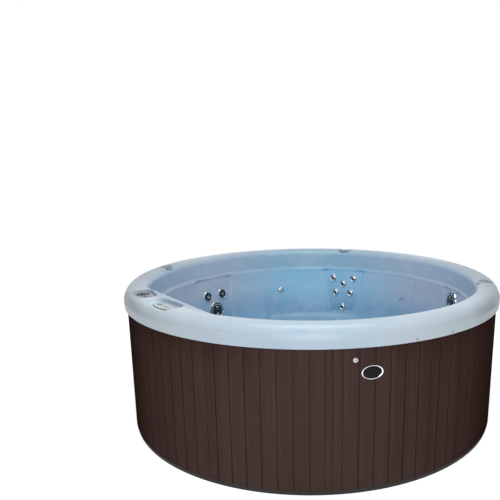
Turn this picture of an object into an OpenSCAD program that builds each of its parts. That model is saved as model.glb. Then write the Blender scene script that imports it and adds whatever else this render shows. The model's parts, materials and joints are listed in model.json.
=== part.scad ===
/* [Overall] */
// Radius of the rim's outer lip
tub_r = 990; // [940:5:1040]
// Height from the floor to the crest of the rim
tub_h = 740; // [725:5:780]

/* [Rim] */
// Width of the rim, from the lip to the mouth of the bowl
rim_w = 136; // [128:2:150]
// Depth of the crease under the rim's inner roll, below the crest
crease_drop = 126; // [118:2:136]
// Width of the crease's small ledge
crease_w = 6; // [4:0.5:7]
// Radius of the inner roll
inner_roll_r = 38; // [34:1:42]
// Lean of the rim's inner face, in degrees
rim_lean = 5; // [3:0.5:7]
// Radius of the outer roll
outer_roll_r = 58; // [48:1:62]
// Height of the lip's face below the crest
lip_drop = 92; // [86:1:100]
// Step between the outer roll and the lip's face
lip_step = 3; // [2:0.5:5]
// Thickness of the moulded sheet
shell_t = 8; // [6:0.5:9]
// How far the control deck reaches in over the bowl
deck_reach = 30; // [24:1:34]

/* [Bowl] */
// Radius of the backrest's hollow curve, seen in section
back_arc_r = 1100; // [950:10:1300]
// Lean of the backrest at the crease, in degrees
back_lean = 2.6; // [1.5:0.1:4]
// Height of the side seats
seat_z = 297; // [290:1:310]
// How much lower the back seat lies
back_seat_step = 38; // [20:1:50]
// Radius of the cove behind the seats
cove_r = 70; // [55:1:80]
// Radius of the seats' front edge
well_r = 471; // [455:1:485]
// Height of the footwell's floor
floor_z = 75; // [70:1:85]
// Lean of the footwell's wall, in degrees
well_lean = 22.5; // [18:0.5:26]
// Radius of the cove round the footwell's floor
well_cove_r = 45; // [35:1:60]
// Height of the step platform
platform_z = 376; // [360:1:390]
// Height of the filter ledge
ledge_z = 501; // [490:1:510]
// Distance of the filter ledge's front edge from the centre
ledge_front = 440; // [430:1:450]
// Draft of the front wall, in degrees
front_draft = 18; // [14:0.5:20]
// Radius of the filter ledge's corner
ledge_corner_r = 95; // [80:1:110]
// Direction of the platform's right-hand wall, in degrees
platform_turn = 54; // [48:1:60]
// Height of the foot domes above the floor
dome_h = 75; // [60:1:85]
// Radius of a foot dome's flat top
dome_r = 60; // [50:1:65]
// Draft of a foot dome's side, in degrees
dome_draft = 44; // [36:1:48]
// Depth of the jet pods behind the backrest
pod_depth = 7; // [6:0.5:12]
// Lean of the jet pods, in degrees
pod_lean = 6; // [5:0.5:9]

/* [Controls] */
// Depth of the recesses in the rim
recess_d = 18; // [14:1:20]
// Radius of a knob's recess
recess_r = 45; // [40:1:50]
// Distance of the knobs from the tub's centre line, inside the lip
knob_inset = 84; // [82:1:92]
// Radius of an air control knob
air_knob_r = 29; // [25:0.5:32]
// Radius of a diverter knob
diverter_knob_r = 30; // [27:0.5:33]
// Length of the control panel
panel_l = 160; // [150:1:172]
// Width of the control panel
panel_w = 56; // [50:1:64]
// Travel of a control button
button_travel = 1; // [0.5:0.1:1.5]

/* [Filter] */
// Inner radius of the filter's collar
filter_mouth_r = 80; // [76:1:84]
// Outer radius of the filter's collar
filter_collar_r = 112; // [108:1:116]
// Outer radius of the filter housing
filter_housing_r = 99; // [94:1:101]
// Depth of the filter housing below its ledge
filter_housing_l = 300; // [280:5:320]
// Radius of the filter cartridge
cartridge_r = 64; // [58:1:68]

/* [Jets] */
// Outer radii of the small, medium and large jets
jet_radii = [25, 35, 60];
// Running gap between a jet's face and its body
jet_gap = 0.6; // [0.4:0.1:0.8]
// Clearance of the holes that fittings pass through
hole_clear = 0.5; // [0.3:0.1:1]

/* [Cabinet] */
// Overhang of the lip beyond the cabinet
lip_overhang = 14; // [11:0.5:18]
// Thickness of a cabinet panel
panel_t = 12; // [10:0.5:14]
// Shadow gap between the panels and the lip
shadow_gap = 3; // [2:0.5:5]
// Height of the base pan's kerb
kerb_h = 20; // [16:1:26]
// Thickness of the base pan's floor
pan_t = 10; // [8:0.5:12]
// Number of fixed cabinet panels
panel_count = 11; // [9:1:13]
// Angle that the access door takes, in degrees
door_span = 26; // [24:0.5:28]
// Width of a groove between slats
groove_w = 5; // [4:0.5:7]
// Depth of a groove between slats
groove_d = 5; // [3:0.5:6]
// Angle between grooves, in degrees
slat_pitch = 3.95; // [3.8:0.05:4.1]
// Gap between the access door and what is round it
door_gap = 1.5; // [1:0.1:2.5]
// Length of the badge plate, which is bare
badge_l = 93; // [80:1:100]
// Height of the badge plate
badge_h = 59; // [50:1:64]

/* [Equipment] */
// Radius of the main pipes
pipe_r = 24; // [20:1:26]
// Radius of the pump's wet end
pump_r = 84; // [78:1:88]
// Radius of the pump's motor
motor_r = 72; // [66:1:76]
// Length of the pump's motor
motor_l = 240; // [220:5:260]
// Radius of the heater tube
heater_r = 34; // [32:1:38]
// Running clearance of shafts and stems
run_gap = 0.4; // [0.3:0.05:0.5]

/* [Hidden] */
$fn = 96;
S = 0;
M = 1;
L = 2;

// Levels of the shell
crease_z = tub_h - crease_drop;
lip_z = tub_h - lip_drop;
back_seat_z = seat_z - back_seat_step;
recess_z = tub_h - recess_d;

// Plan of the shell
bowl_r = tub_r - rim_w;
knob_ring_r = tub_r - knob_inset;
wall_c = [bowl_r - back_arc_r * cos(back_lean), crease_z + back_arc_r * sin(back_lean)];
back_seat_a = [41.6, 116];
deck_a = 221.5;
deck_x = bowl_r - deck_reach;
deck_draft = 3;
deck_edge = 6;
deck_half_a = 23;
platform_corner_x = 306;
ledge_axis_x = -317;
ledge_back_x = -350;
mould_low = -60;
pod_reach = 180;
far = 1200;
seam = 0.1;

// Jet pods: angle, bottom and top below the crest, width at the bottom and at the top
PODS = [
    [78.2, 428, 136, 124, 306],
    [141.7, 418, 136, 196, 296],
    [189, 422, 136, 100, 112],
    [16.4, 418, 136, 170, 208],
    [-30.5, 436, 136, 150, 190]
];
POD_NAMES = ["back", "left_rear", "left", "right", "right_front"];
pod_mid_z = tub_h - 290;

// Jets on the pods: pod, size, place across the pod and depth below the crest
POD_JETS = [
    [0, S, -70, 193], [0, S, 70, 193], [0, S, 0, 232], [0, S, -52, 293], [0, S, 52, 293], [0, S, 0, 392],
    [1, M, -59, 248], [1, M, 59, 248], [1, L, 0, 348],
    [2, M, 0, 237], [2, M, 0, 379],
    [3, L, 0, 204], [3, L, 0, 344],
    [4, S, -35, 171], [4, S, 33, 171], [4, S, 0, 263], [4, M, 0, 393]
];
foot_jet_x = 238;
foot_jet_y = -226;
wall_jet_x = -548;
wall_jet_z = ledge_z - 71;
jet_hub = [0.42, 0.42, 0.36];
jet_pocket = [0.74, 0.74, 0.84];
jet_collar_h = [5, 6.5, 9];
jet_tail = [40, 46, 54];
jet_floor = 1.2;
jet_stem = 0.2;

// Other places
air_knob_a = [78.5, 165.8, 351.8];
diverter_a = [207.4, 213.2];
panel_a = 225.7;
filter_a = 238.4;
filter_x = (bowl_r - 145) * cos(filter_a);
filter_y = (bowl_r - 145) * sin(filter_a);
suction_x = 5;
suction_z = floor_z + 75;
suction_r = 62;
suction_l = 34;
suction_y = front_y(suction_z) - shell_t - suction_l - 14;
sensor_x = 125;
sensor_z = platform_z - 114;
fitting_a = [107.8, 48.5];
fitting_drop = 271;
fitting_r = [18, 21];

// Cabinet
cab_r = tub_r - lip_overhang;
cab_in_r = cab_r - panel_t;
cab_top_z = lip_z - shadow_gap;
pan_r = cab_r - 4;
kerb_in_r = cab_in_r - 68;
strip_a = 275.6;
strip_span = 1.6;
door_a = strip_a + strip_span;
door_end_a = door_a + door_span;
panel_span = (360 - door_span - strip_span) / panel_count;
first_slat = 3.7;
panel_joint = 1.2;
post_w = 45;
post_d = 39;
post_in_r = cab_in_r - post_d;
ring_in_r = cab_in_r - 59;
ring_out_r = cab_in_r - 16;
stud_d = 19;
ring_z = tub_h - 128;
ring_h = 28;
seat_gap = 0.3;
lock_a = 282.55;
lock_z = tub_h - 145;
lock_r = 8;
badge_a = 286.75;
badge_z = tub_h - 202;
badge_t = 3;

// Equipment
pump_x = suction_x;
pump_z = 122;
pump_front_y = -520;
wet_l = 70;
motor_y = pump_front_y - wet_l;
outlet_x = pump_x + 52;
outlet_y = pump_front_y - wet_l / 2;
main_z = seat_z - 47;
main_r = cab_in_r - 50 - pipe_r;
heater_a = -16.7;
heater_l = 250;
heater_s = 70;
stub_top = pump_z + pump_r + 2;
line_b = outlet_x * cos(heater_a) + outlet_y * sin(heater_a);
join_s = sqrt(pow(line_b, 2) + pow(main_r, 2) - pow(outlet_x, 2) - pow(outlet_y, 2)) - line_b;
join_stub = 64;
main_a = [atan2(outlet_y + join_s * sin(heater_a), outlet_x + join_s * cos(heater_a)), 203];
shaft_r = 8;
box_a = -64;
box_size = [100, 260, 184];
box_out_r = kerb_in_r - 36;
box_lid_in = 10;

// Points along an arc, leaving out the first `skip`
function arc(c, r, a0, a1, n, skip = 0) =
    [for (i = [skip : n]) let (a = a0 + (a1 - a0) * i / n) [c[0] + r * cos(a), c[1] + r * sin(a)]];
function ellipse(a, b, n) = [for (i = [0 : n - 1]) [a * cos(360 * i / n), b * sin(360 * i / n)]];
function polar(r, a) = [r * cos(a), r * sin(a)];

// The cove behind a seat at height z is tangent to the seat and to the backrest
function cove_a(z) = asin((z + cove_r - wall_c[1]) / (back_arc_r - cove_r));
function cove_c(z) = [wall_c[0] + (back_arc_r - cove_r) * cos(cove_a(z)), z + cove_r];
function wall_r(z) = wall_c[0] + sqrt(pow(back_arc_r, 2) - pow(z - wall_c[1], 2));
function front_y(z) = -ledge_front + (ledge_z - z) * tan(front_draft);

// Section of the bowl, grown by g into the sheet
function bowl_outline(g) = concat(
    [[0, seat_z - g]],
    arc(cove_c(seat_z), cove_r + g, -90, cove_a(seat_z), 6),
    arc(wall_c, back_arc_r + g, cove_a(seat_z), asin((crease_z - wall_c[1]) / (back_arc_r + g)), 5, 1),
    [[0, crease_z]]
);
function back_seat_outline(g) = let (top = seat_z + cove_r * 0.7) concat(
    [[0, back_seat_z - g]],
    arc(cove_c(back_seat_z) - [1, 0], cove_r + g, -90, cove_a(back_seat_z), 6),
    arc(wall_c - [1, 0], back_arc_r + g, cove_a(back_seat_z), asin((top - wall_c[1]) / (back_arc_r + g)),
        2, 1),
    [[0, top]]
);
function well_line(z, g) = well_r - (seat_z - z) * tan(well_lean) + g / cos(well_lean);
function well_outline(g) = let (zc = floor_z + well_cove_r, rc = well_line(zc, -well_cove_r)) concat(
    [[0, floor_z - g]],
    arc([rc, zc], well_cove_r + g, -90, -well_lean, 5),
    [[well_line(seat_z + 3, g), seat_z + 3], [0, seat_z + 3]]
);
// Section of the rim, shrunk by g from its visible side
rim_in_r = bowl_r + crease_w;
function rim_inner_c() = let (z = tub_h - inner_roll_r, rise = z + inner_roll_r * sin(rim_lean) - crease_z)
    [rim_in_r + rise * tan(rim_lean) + inner_roll_r * cos(rim_lean), z];
function rim_outline(g) =
    let (low = g > 0 ? crease_z - shell_t * 2 : lip_z, start = crease_z - shell_t * 1.5) concat(
    g > 0 ? [] : [[rim_in_r, start]],
    [[rim_in_r + g, crease_z]],
    arc(rim_inner_c(), inner_roll_r - g, 180 - rim_lean, 90, 6),
    arc([tub_r - lip_step - outer_roll_r, tub_h - outer_roll_r], outer_roll_r - g, 90, 0, 8),
    [[tub_r - g, tub_h - outer_roll_r - lip_step - g / 2], [tub_r - g, low]],
    g > 0 ? [[rim_in_r + g, low]] : [[rim_in_r + shell_t * 1.5, low], [rim_in_r + shell_t * 1.5, start]]
);
// Section of the control deck across its straight edge
function deck_face(z, g) = deck_x - (tub_h - z) * tan(deck_draft) + g / cos(deck_draft);
function deck_outline(low, g) = [
    [deck_face(low, g), low], [deck_face(tub_h - deck_edge, g), tub_h - deck_edge - g],
    [deck_face(tub_h, g) + deck_edge, tub_h - g], [far, tub_h - g], [far, low]
];

// Puts its children on a lean wall, with +Z out of the wall into the water and +X up the wall
module on_wall(a, r, across, z, lean) {
    rotate([0, 0, a]) translate([r, across, z]) rotate([0, lean - 90, 0]) children();
}
module on_pod(p, across, z) {
    r = wall_r(pod_mid_z) + pod_depth + (z - pod_mid_z) * tan(pod_lean);
    on_wall(PODS[p][0], r, across, z, pod_lean) children();
}
module on_front(x, z) {
    translate([x, front_y(z), z]) rotate([front_draft - 90, 0, 0]) children();
}
module on_backrest(a, drop, sink) {
    z = tub_h - drop;
    on_wall(a, wall_r(z) + sink, 0, z, -asin((z - wall_c[1]) / back_arc_r)) children();
}
module on_recess(a) {
    translate(concat(polar(knob_ring_r, a), recess_z)) rotate([0, 0, a]) children();
}
module at_pod_jet(i) {
    j = POD_JETS[i];
    on_pod(j[0], j[2], tub_h - j[3]) children();
}
module at_foot_jet(side) {
    translate([side * foot_jet_x, foot_jet_y, floor_z + dome_h]) children();
}

// Mould shapes of the shell: each is what is cut, or left standing, at depth g in the sheet
module pod(p, g) {
    d = PODS[p];
    x0 = (tub_h - d[1] - pod_mid_z) / cos(pod_lean) - g;
    x1 = (tub_h - d[2] - pod_mid_z) / cos(pod_lean) + g;
    intersection() {
        on_pod(p, 0, pod_mid_z) translate([0, 0, -g]) linear_extrude(pod_reach)
            polygon([[x0, -d[3] / 2 - g], [x0, d[3] / 2 + g], [x1, d[4] / 2 + g], [x1, -d[4] / 2 - g]]);
        cylinder(h = crease_z, r = far);
    }
}
module draft_block(top, g) {
    side = g / cos(front_draft);
    rotate([90, 0, 90]) linear_extrude(far * 2, center = true)
        polygon([
            [front_y(mould_low) - side, mould_low], [front_y(top - g) - side, top - g],
            [-far, top - g], [-far, mould_low]
        ]);
}
module platform(g) {
    y = front_y(platform_z);
    intersection() {
        draft_block(platform_z, g);
        translate([platform_corner_x, y, 0]) rotate([0, 0, -platform_turn]) translate([0, -y, 0])
            draft_block(platform_z, g);
    }
}
module ledge(g) {
    low = platform_z - g - 10;
    r2 = ledge_corner_r - seam - g / cos(front_draft) + g * tan(front_draft);
    r1 = r2 + (ledge_z - g - low) * tan(front_draft);
    yc = -ledge_front - ledge_corner_r;
    hull() for (p = [[ledge_axis_x, yc], [ledge_back_x, -far], [-far, yc]])
        translate([p[0], p[1], low]) cylinder(h = ledge_z - g - low, r1 = r1, r2 = r2, $fn = 40);
}
module deck_block(low, g) {
    rotate([0, 0, deck_a]) rotate([90, 0, 0]) linear_extrude(far, center = true)
        polygon(deck_outline(low, g));
}
module dome(side, g) {
    low = floor_z - 30;
    top = floor_z + dome_h - g;
    r2 = dome_r - g / cos(dome_draft) + g * tan(dome_draft);
    translate([side * foot_jet_x, foot_jet_y, low])
        cylinder(h = top - low, r1 = r2 + (top - low) * tan(dome_draft), r2 = r2);
}
module back_seat(g) {
    grow = asin(g / well_r);
    rotate_extrude(angle = back_seat_a[1] - back_seat_a[0] + 2 * grow, start = back_seat_a[0] - grow)
        polygon(back_seat_outline(g));
}
module basin(g) {
    difference() {
        union() {
            rotate_extrude() polygon(bowl_outline(g));
            back_seat(g);
            rotate_extrude() polygon(well_outline(g));
            for (p = [0 : len(PODS) - 1]) pod(p, g);
            for (i = [0, 1]) on_backrest(fitting_a[i], fitting_drop, 1)
                translate([0, 0, -g]) cylinder(h = 40, r = fitting_r[i] + 3 + g);
        }
        platform(g);
        ledge(g);
        deck_block(ledge_z - shell_t * 2, g);
        for (side = [-1, 1]) dome(side, g);
    }
}
module slot_cut(r, spread, h) {
    for (s = [-1, 1]) translate([0, s * spread / 2, 0]) cylinder(h = h, r = r);
    translate([-r + 0.5, -spread / 2, 0]) cube([2 * r - 1, spread, h]);
}
diverter_a_mid = (diverter_a[0] + diverter_a[1]) / 2;
diverter_spread = 2 * knob_ring_r * sin((diverter_a[1] - diverter_a[0]) / 2);
module recesses(g) {
    h = recess_d + 10;
    for (a = air_knob_a) on_recess(a) translate([0, 0, -g]) cylinder(h = h, r = recess_r + g);
    on_recess(diverter_a_mid) translate([0, 0, -g]) slot_cut(recess_r + g, diverter_spread, h);
    on_recess(panel_a) translate([0, 0, -g]) slot_cut(panel_w - 4 + g, panel_l - 40, h);
}
module deck(g) {
    intersection() {
        deck_block(crease_z - shell_t * (g > 0 ? 3 : 2.5), g);
        cylinder(h = tub_h, r = rim_inner_c()[0] + deck_edge);
    }
}
module rim(g) {
    difference() {
        union() {
            rotate_extrude() polygon(rim_outline(g));
            deck(g);
        }
        recesses(g);
    }
}

// Holes in the sheet for what passes through it
module jet_hole(s) {
    translate([0, 0, -shell_t - 6]) cylinder(h = shell_t + 10, r = jet_radii[s] * 0.6 + hole_clear);
}
module shell_holes() {
    for (i = [0 : len(POD_JETS) - 1]) at_pod_jet(i) jet_hole(POD_JETS[i][1]);
    for (side = [-1, 1]) at_foot_jet(side) jet_hole(M);
    on_front(wall_jet_x, wall_jet_z) jet_hole(L);
    on_front(suction_x, suction_z) translate([0, 0, -20]) cylinder(h = 24, r = suction_r * 0.7 + hole_clear);
    on_front(sensor_x, sensor_z) translate([0, 0, -20]) cylinder(h = 24, r = 5 + hole_clear);
    for (i = [0, 1]) on_backrest(fitting_a[i], fitting_drop, 1)
        translate([0, 0, -20]) cylinder(h = 24, r = fitting_r[i] * 0.6 + hole_clear);
    translate([filter_x, filter_y, ledge_z - 30]) cylinder(h = 40, r = filter_housing_r + hole_clear);
    for (a = concat(air_knob_a, diverter_a)) on_recess(a)
        translate([0, 0, -20]) cylinder(h = 24, r = valve_tube_r + hole_clear);
    on_recess(panel_a) translate([-panel_w * 0.3, -panel_l * 0.35, -20])
        cube([panel_w * 0.6, panel_l * 0.7, 24]);
}
module shell() {
    color("lightsteelblue") difference() {
        union() {
            rim(0);
            basin(shell_t);
        }
        rim(shell_t);
        basin(0);
        shell_holes();
    }
}

// Jets: a body with its collar, and a face that turns in it
module jet_body(s) {
    r = jet_radii[s];
    h = jet_collar_h[s];
    pocket = r * jet_pocket[s];
    barrel = r * 0.6;
    bore = r * jet_stem + jet_gap;
    difference() {
        union() {
            rotate_extrude() polygon([
                [0, 0], [r, 0], [r, h * 0.3], [r - h * 0.4, h], [pocket + h * 0.15, h],
                [pocket, h * 0.8], [pocket, jet_floor], [0, jet_floor]
            ]);
            translate([0, 0, -shell_t - jet_tail[s]]) cylinder(h = shell_t + jet_tail[s] + 0.5, r = barrel);
            translate([0, 0, -shell_t - 9]) cylinder(h = 9 - seat_gap, r = r * 0.86, $fn = 6);
            translate([-r * 0.5 - 22, 0, -shell_t - jet_tail[s] + 14]) rotate([0, 90, 0])
                cylinder(h = 22 + r * 0.2, r = 9);
        }
        translate([0, 0, -shell_t - jet_tail[s] + 8]) cylinder(h = far, r = bore);
        translate([-far, 0, -shell_t - jet_tail[s] + 14]) rotate([0, 90, 0]) cylinder(h = far, r = 5);
    }
}
module jet_face_shape(s) {
    r = jet_radii[s] * jet_pocket[s] - jet_gap;
    low = jet_floor + jet_gap;
    top = jet_collar_h[s] + 1.5;
    stem = jet_radii[s] * jet_stem;
    nozzle = [r * 0.24, r * 0.24, r * 0.2];
    difference() {
        union() {
            rotate_extrude() polygon(concat(
                [[0, low], [r, low], [r, top - 3]],
                arc([r - 2, top - 3], 2, 0, 90, 3, 1),
                [[r * 0.62, top - 1], [r * 0.5, top + r * 0.06], [0, top + r * 0.1]]
            ));
            translate([0, 0, low - 16]) cylinder(h = 17, r = stem);
        }
        if (s == L) {
            for (k = [0, 180]) rotate([0, 0, k])
                translate([r * 0.45, 0, low + 1]) cylinder(h = 30, r = nozzle[s]);
            for (k = [0 : 7]) rotate([0, 0, k * 45 + 22.5])
                translate([r * 1.05, 0, low + 1.5]) cylinder(h = 30, r = r * 0.16);
            translate([0, 0, low - 20]) cylinder(h = 24, r = stem * 0.5);
        } else {
            translate([0, 0, low - 20]) cylinder(h = 50, r = min(nozzle[s], stem * 0.7));
            translate([0, 0, low + 1.5]) cylinder(h = 30, r1 = stem * 0.7, r2 = stem * 0.7 + 12);
            for (k = [0 : 2]) rotate([0, 0, k * 120])
                translate([r * 1.02, 0, low + 1.5]) cylinder(h = 30, r = r * 0.14);
        }
    }
}
module jet_bodies() {
    color("silver") {
        for (i = [0 : len(POD_JETS) - 1]) at_pod_jet(i) jet_body(POD_JETS[i][1]);
        for (side = [-1, 1]) at_foot_jet(side) rotate([0, 0, 180]) jet_body(M);
        on_front(wall_jet_x, wall_jet_z) rotate([0, 0, -90]) jet_body(L);
    }
}
module jet_face(i) {
    color("dimgray") at_pod_jet(i) jet_face_shape(POD_JETS[i][1]);
}
module foot_jet_face(side) {
    color("dimgray") at_foot_jet(side) jet_face_shape(M);
}
module wall_jet_face() {
    color("dimgray") on_front(wall_jet_x, wall_jet_z) jet_face_shape(L);
}
function pod_jet_name(i) = str(POD_NAMES[POD_JETS[i][0]], "_jet_",
    len([for (k = [0 : i]) if (POD_JETS[k][0] == POD_JETS[i][0]) k]));

// Air controls and diverters: a valve body with its plate, and a knob that turns in it
valve_tube_r = 13;
valve_plate_t = 3;
stem_r = 6;
module valve_body(plate_r, body_r, body_l) {
    difference() {
        union() {
            cylinder(h = valve_plate_t, r = plate_r);
            translate([0, 0, -shell_t - 2]) cylinder(h = shell_t + 3, r = valve_tube_r);
            translate([0, 0, -shell_t - seat_gap - body_l]) cylinder(h = body_l, r = body_r);
            translate([14 - body_r, 0, -shell_t - seat_gap - body_l - 20]) cylinder(h = 21, r = 9);
        }
        translate([0, 0, -shell_t - body_l + 6]) cylinder(h = far, r = stem_r + run_gap);
    }
}
module knob(r, grip_w) {
    low = valve_plate_t + run_gap;
    difference() {
        union() {
            rotate_extrude()
                polygon([[0, low], [r - 1, low], [r, low + 1], [r, low + 4], [r - 2, low + 6], [0, low + 6]]);
            intersection() {
                translate([0, 0, low + 4]) cylinder(h = recess_d - low - 5, r1 = r - 3, r2 = r - 5);
                translate([-grip_w / 2, -r, low + 4]) cube([grip_w, 2 * r, 20]);
            }
            translate([0, 0, low - 30]) cylinder(h = 31, r = stem_r);
        }
        translate([0, r - 8, low + 5]) cylinder(h = 20, r = 1.8);
    }
}
module air_knob(i) {
    color("slategray") on_recess(air_knob_a[i]) knob(air_knob_r, 12);
}
module diverter_knob(i) {
    color("darkslategray") on_recess(diverter_a[i]) knob(diverter_knob_r, 16);
}
module air_valve_bodies() {
    color("lightgray") for (a = air_knob_a) on_recess(a) valve_body(air_knob_r + 5, 20, 44);
}
module diverter_bodies() {
    color("lightgray") for (a = diverter_a) on_recess(a) valve_body(diverter_knob_r + 5, 36, 52);
}

// Control panel: an oval bezel with its box under the deck, a lens and three buttons
bezel_t = 5;
button_r = 7;
button_y = [-4, 22, 46];
lens_y = -38;
lens_l = 34;
lens_w = 18;
lens_t = 2;
button_proud = 2;
module control_panel() {
    color("whitesmoke") on_recess(panel_a) difference() {
        union() {
            linear_extrude(bezel_t) polygon(ellipse(panel_w / 2, panel_l / 2, 48));
            translate([-panel_w * 0.3 + hole_clear, -panel_l * 0.35 + hole_clear, -shell_t - 40])
                cube([panel_w * 0.6 - 2 * hole_clear, panel_l * 0.7 - 2 * hole_clear, shell_t + 41]);
        }
        translate([-lens_w / 2, lens_y - lens_l / 2, bezel_t - lens_t]) cube([lens_w, lens_l, 10]);
        for (y = button_y) translate([0, y, bezel_t - 4]) cylinder(h = 10, r = button_r + run_gap);
        for (y = button_y) translate([0, y, bezel_t - 12]) cylinder(h = 20, r = 2 + run_gap);
    }
}
module display_lens() {
    color("black") on_recess(panel_a) translate([-lens_w / 2, lens_y - lens_l / 2, bezel_t - lens_t])
        cube([lens_w, lens_l, lens_t]);
}
module panel_button(i) {
    color("gainsboro") on_recess(panel_a) translate([0, button_y[i], bezel_t]) {
        translate([0, 0, -4 + button_travel + run_gap])
            cylinder(h = 4 - button_travel - run_gap + button_proud, r = button_r);
        translate([0, 0, -9]) cylinder(h = 9, r = 2);
    }
}

// Filter: housing under the ledge, collar on it, and a cartridge with its toothed cap that lift out together
filter_wall = 5;
cap_r = filter_mouth_r - 8;
cap_t = 8;
cap_z = ledge_z - 26;
cartridge_l = filter_housing_l - 80;
module filter_housing() {
    color("dimgray") translate([filter_x, filter_y, 0]) difference() {
        union() {
            translate([0, 0, ledge_z - filter_housing_l])
                cylinder(h = filter_housing_l, r = filter_housing_r);
            translate([0, 0, ledge_z - filter_housing_l - 30]) cylinder(h = 31, r = pipe_r + 5);
        }
        translate([0, 0, ledge_z - filter_housing_l + filter_wall])
            cylinder(h = far, r = filter_housing_r - filter_wall);
        translate([0, 0, ledge_z - filter_housing_l - far / 2]) cylinder(h = far, r = pipe_r - 4);
    }
}
module filter_collar() {
    r0 = filter_mouth_r;
    r1 = filter_collar_r;
    color("lightslategray") translate([filter_x, filter_y, ledge_z]) rotate_extrude() polygon([
        [r0, -18], [r0 + 6, -18], [r0 + 6, 0], [r1, 0], [r1, 3], [r1 - 4, 7], [r1 - 12, 7], [r1 - 13, 4],
        [r1 - 17, 4], [r1 - 18, 7], [r0 + 4, 7], [r0, 3]
    ]);
}
module filter_cap() {
    color("darkolivegreen") translate([filter_x, filter_y, cap_z]) difference() {
        union() {
            cylinder(h = cap_t, r = cap_r);
            cylinder(h = cap_t + 14, r = 16);
            translate([-34, -5, cap_t]) cube([68, 10, 14]);
        }
        for (k = [0 : 11]) rotate([0, 0, k * 30]) translate([cap_r * 0.84, -cap_r * 0.09, -1])
            cube([cap_r, cap_r * 0.18, 30]);
    }
}
module filter_cartridge() {
    pleats = 28;
    color("white") translate([filter_x, filter_y, cap_z - cartridge_l]) {
        difference() {
            union() {
                cylinder(h = 10, r = cartridge_r);
                translate([0, 0, cartridge_l - 10]) cylinder(h = 10, r = cartridge_r);
                linear_extrude(cartridge_l) polygon([for (i = [0 : 2 * pleats - 1])
                    polar(cartridge_r - (i % 2 == 0 ? 2 : 14), i * 180 / pleats)]);
            }
            translate([0, 0, -1]) cylinder(h = cartridge_l - 9, r = 22);
        }
    }
}
rest_w = 12;
module filter_rest() {
    z = ledge_z - filter_housing_l + filter_wall;
    color("dimgray") translate([filter_x, filter_y, z]) difference() {
        cylinder(h = cap_z - cartridge_l - z - seat_gap, r = 40);
        translate([0, 0, -1]) cylinder(h = far, r = 40 - rest_w);
        for (k = [0, 90]) rotate([0, 0, k]) translate([-far / 2, -8, 8]) cube([far, 16, 14]);
    }
}

// Fittings in the footwell and on the backrest
module suction_cover() {
    r = suction_r;
    tail = r * 0.7;
    color("black") difference() {
        union() {
            on_front(suction_x, suction_z) {
                rotate_extrude() polygon(concat([[0, 0], [r, 0], [r, 3]], arc([r - 14, 3], 14, 0, 60, 3, 1),
                    [[r * 0.55, 19], [r * 0.3, 21.5], [0, 22]]));
                translate([0, 0, -shell_t - suction_l]) cylinder(h = shell_t + suction_l + 1, r = tail);
            }
            along_y(pump_x, suction_y + 40, pump_z) cylinder(h = 40, r = pipe_r + 5);
        }
        on_front(suction_x, suction_z) {
            translate([0, 0, -shell_t - suction_l + 6]) cylinder(h = shell_t + suction_l, r = tail - 6);
            for (k = [0 : 17]) rotate([0, 0, k * 20])
                translate([tail * 0.32, -1.6, 1]) cube([tail * 0.5, 3.2, 40]);
        }
        along_y(pump_x, suction_y + 24, pump_z) cylinder(h = 60, r = pipe_r - 3);
    }
}
module temperature_sensor() {
    color("black") on_front(sensor_x, sensor_z) {
        translate([0, 0, -shell_t - 24]) cylinder(h = shell_t + 25, r = 5);
        linear_extrude(4) polygon(ellipse(21, 8, 28));
    }
}
module wall_fittings() {
    color("silver") for (i = [0, 1]) on_backrest(fitting_a[i], fitting_drop, 1) difference() {
        union() {
            rotate_extrude()
                polygon([[0, 0], [fitting_r[i], 0], [fitting_r[i], 2], [fitting_r[i] - 3, 5], [0, 5]]);
            translate([0, 0, -shell_t - 30]) cylinder(h = shell_t + 31, r = fitting_r[i] * 0.6);
        }
        translate([0, 0, 2]) cylinder(h = 20, r = fitting_r[i] * 0.55);
        translate([0, 0, -far / 2]) cylinder(h = far, r = fitting_r[i] * 0.25);
    }
}

// Base, frame and supports
module base_pan() {
    color("black") rotate_extrude() polygon([
        [0, 0], [pan_r - 3, 0], [pan_r, 3], [pan_r, kerb_h],
        [kerb_in_r, kerb_h], [kerb_in_r - 10, pan_t], [0, pan_t]
    ]);
}
post_angles = concat(
    [strip_a + strip_span / 2, door_end_a], [for (k = [1 : panel_count - 1]) strip_a - k * panel_span]
);
module frame_posts() {
    color("burlywood") for (a = post_angles) intersection() {
        rotate([0, 0, a]) translate([post_in_r, -post_w / 2, kerb_h])
            cube([post_d * 1.5, post_w, ring_z - kerb_h]);
        cylinder(h = tub_h, r = cab_in_r - seat_gap);
    }
}
function under_deck(a) = a > deck_a - deck_half_a && a < deck_a + deck_half_a;
module top_ring() {
    stud_h = tub_h - shell_t - ring_z - ring_h;
    color("tan") union() {
        translate([0, 0, ring_z]) rotate_extrude()
            translate([ring_in_r, 0]) square([ring_out_r - ring_in_r, ring_h]);
        for (a = post_angles) if (!under_deck((a + 360) % 360)) rotate([0, 0, a])
            translate([rim_inner_c()[0] + 1, -post_w / 2, ring_z + ring_h - 1])
                cube([stud_d, post_w, stud_h + 1]);
    }
}
module support(out, a, top, r) {
    translate(concat(polar(out, a), pan_t)) cylinder(h = top - shell_t - pan_t, r = r);
}
floor_post_in = 221;
floor_post_r = 55;
seat_post_out = 149;
seat_post_r = 40;
module shell_supports() {
    color("gray") {
        for (a = [45, 135, 225, 315]) support(well_r - floor_post_in, a, floor_z, floor_post_r);
        for (a = [10, 150, 196]) support(well_r + seat_post_out, a, seat_z, seat_post_r);
        for (a = [62, 96]) support(well_r + seat_post_out, a, back_seat_z, seat_post_r);
    }
}

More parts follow.
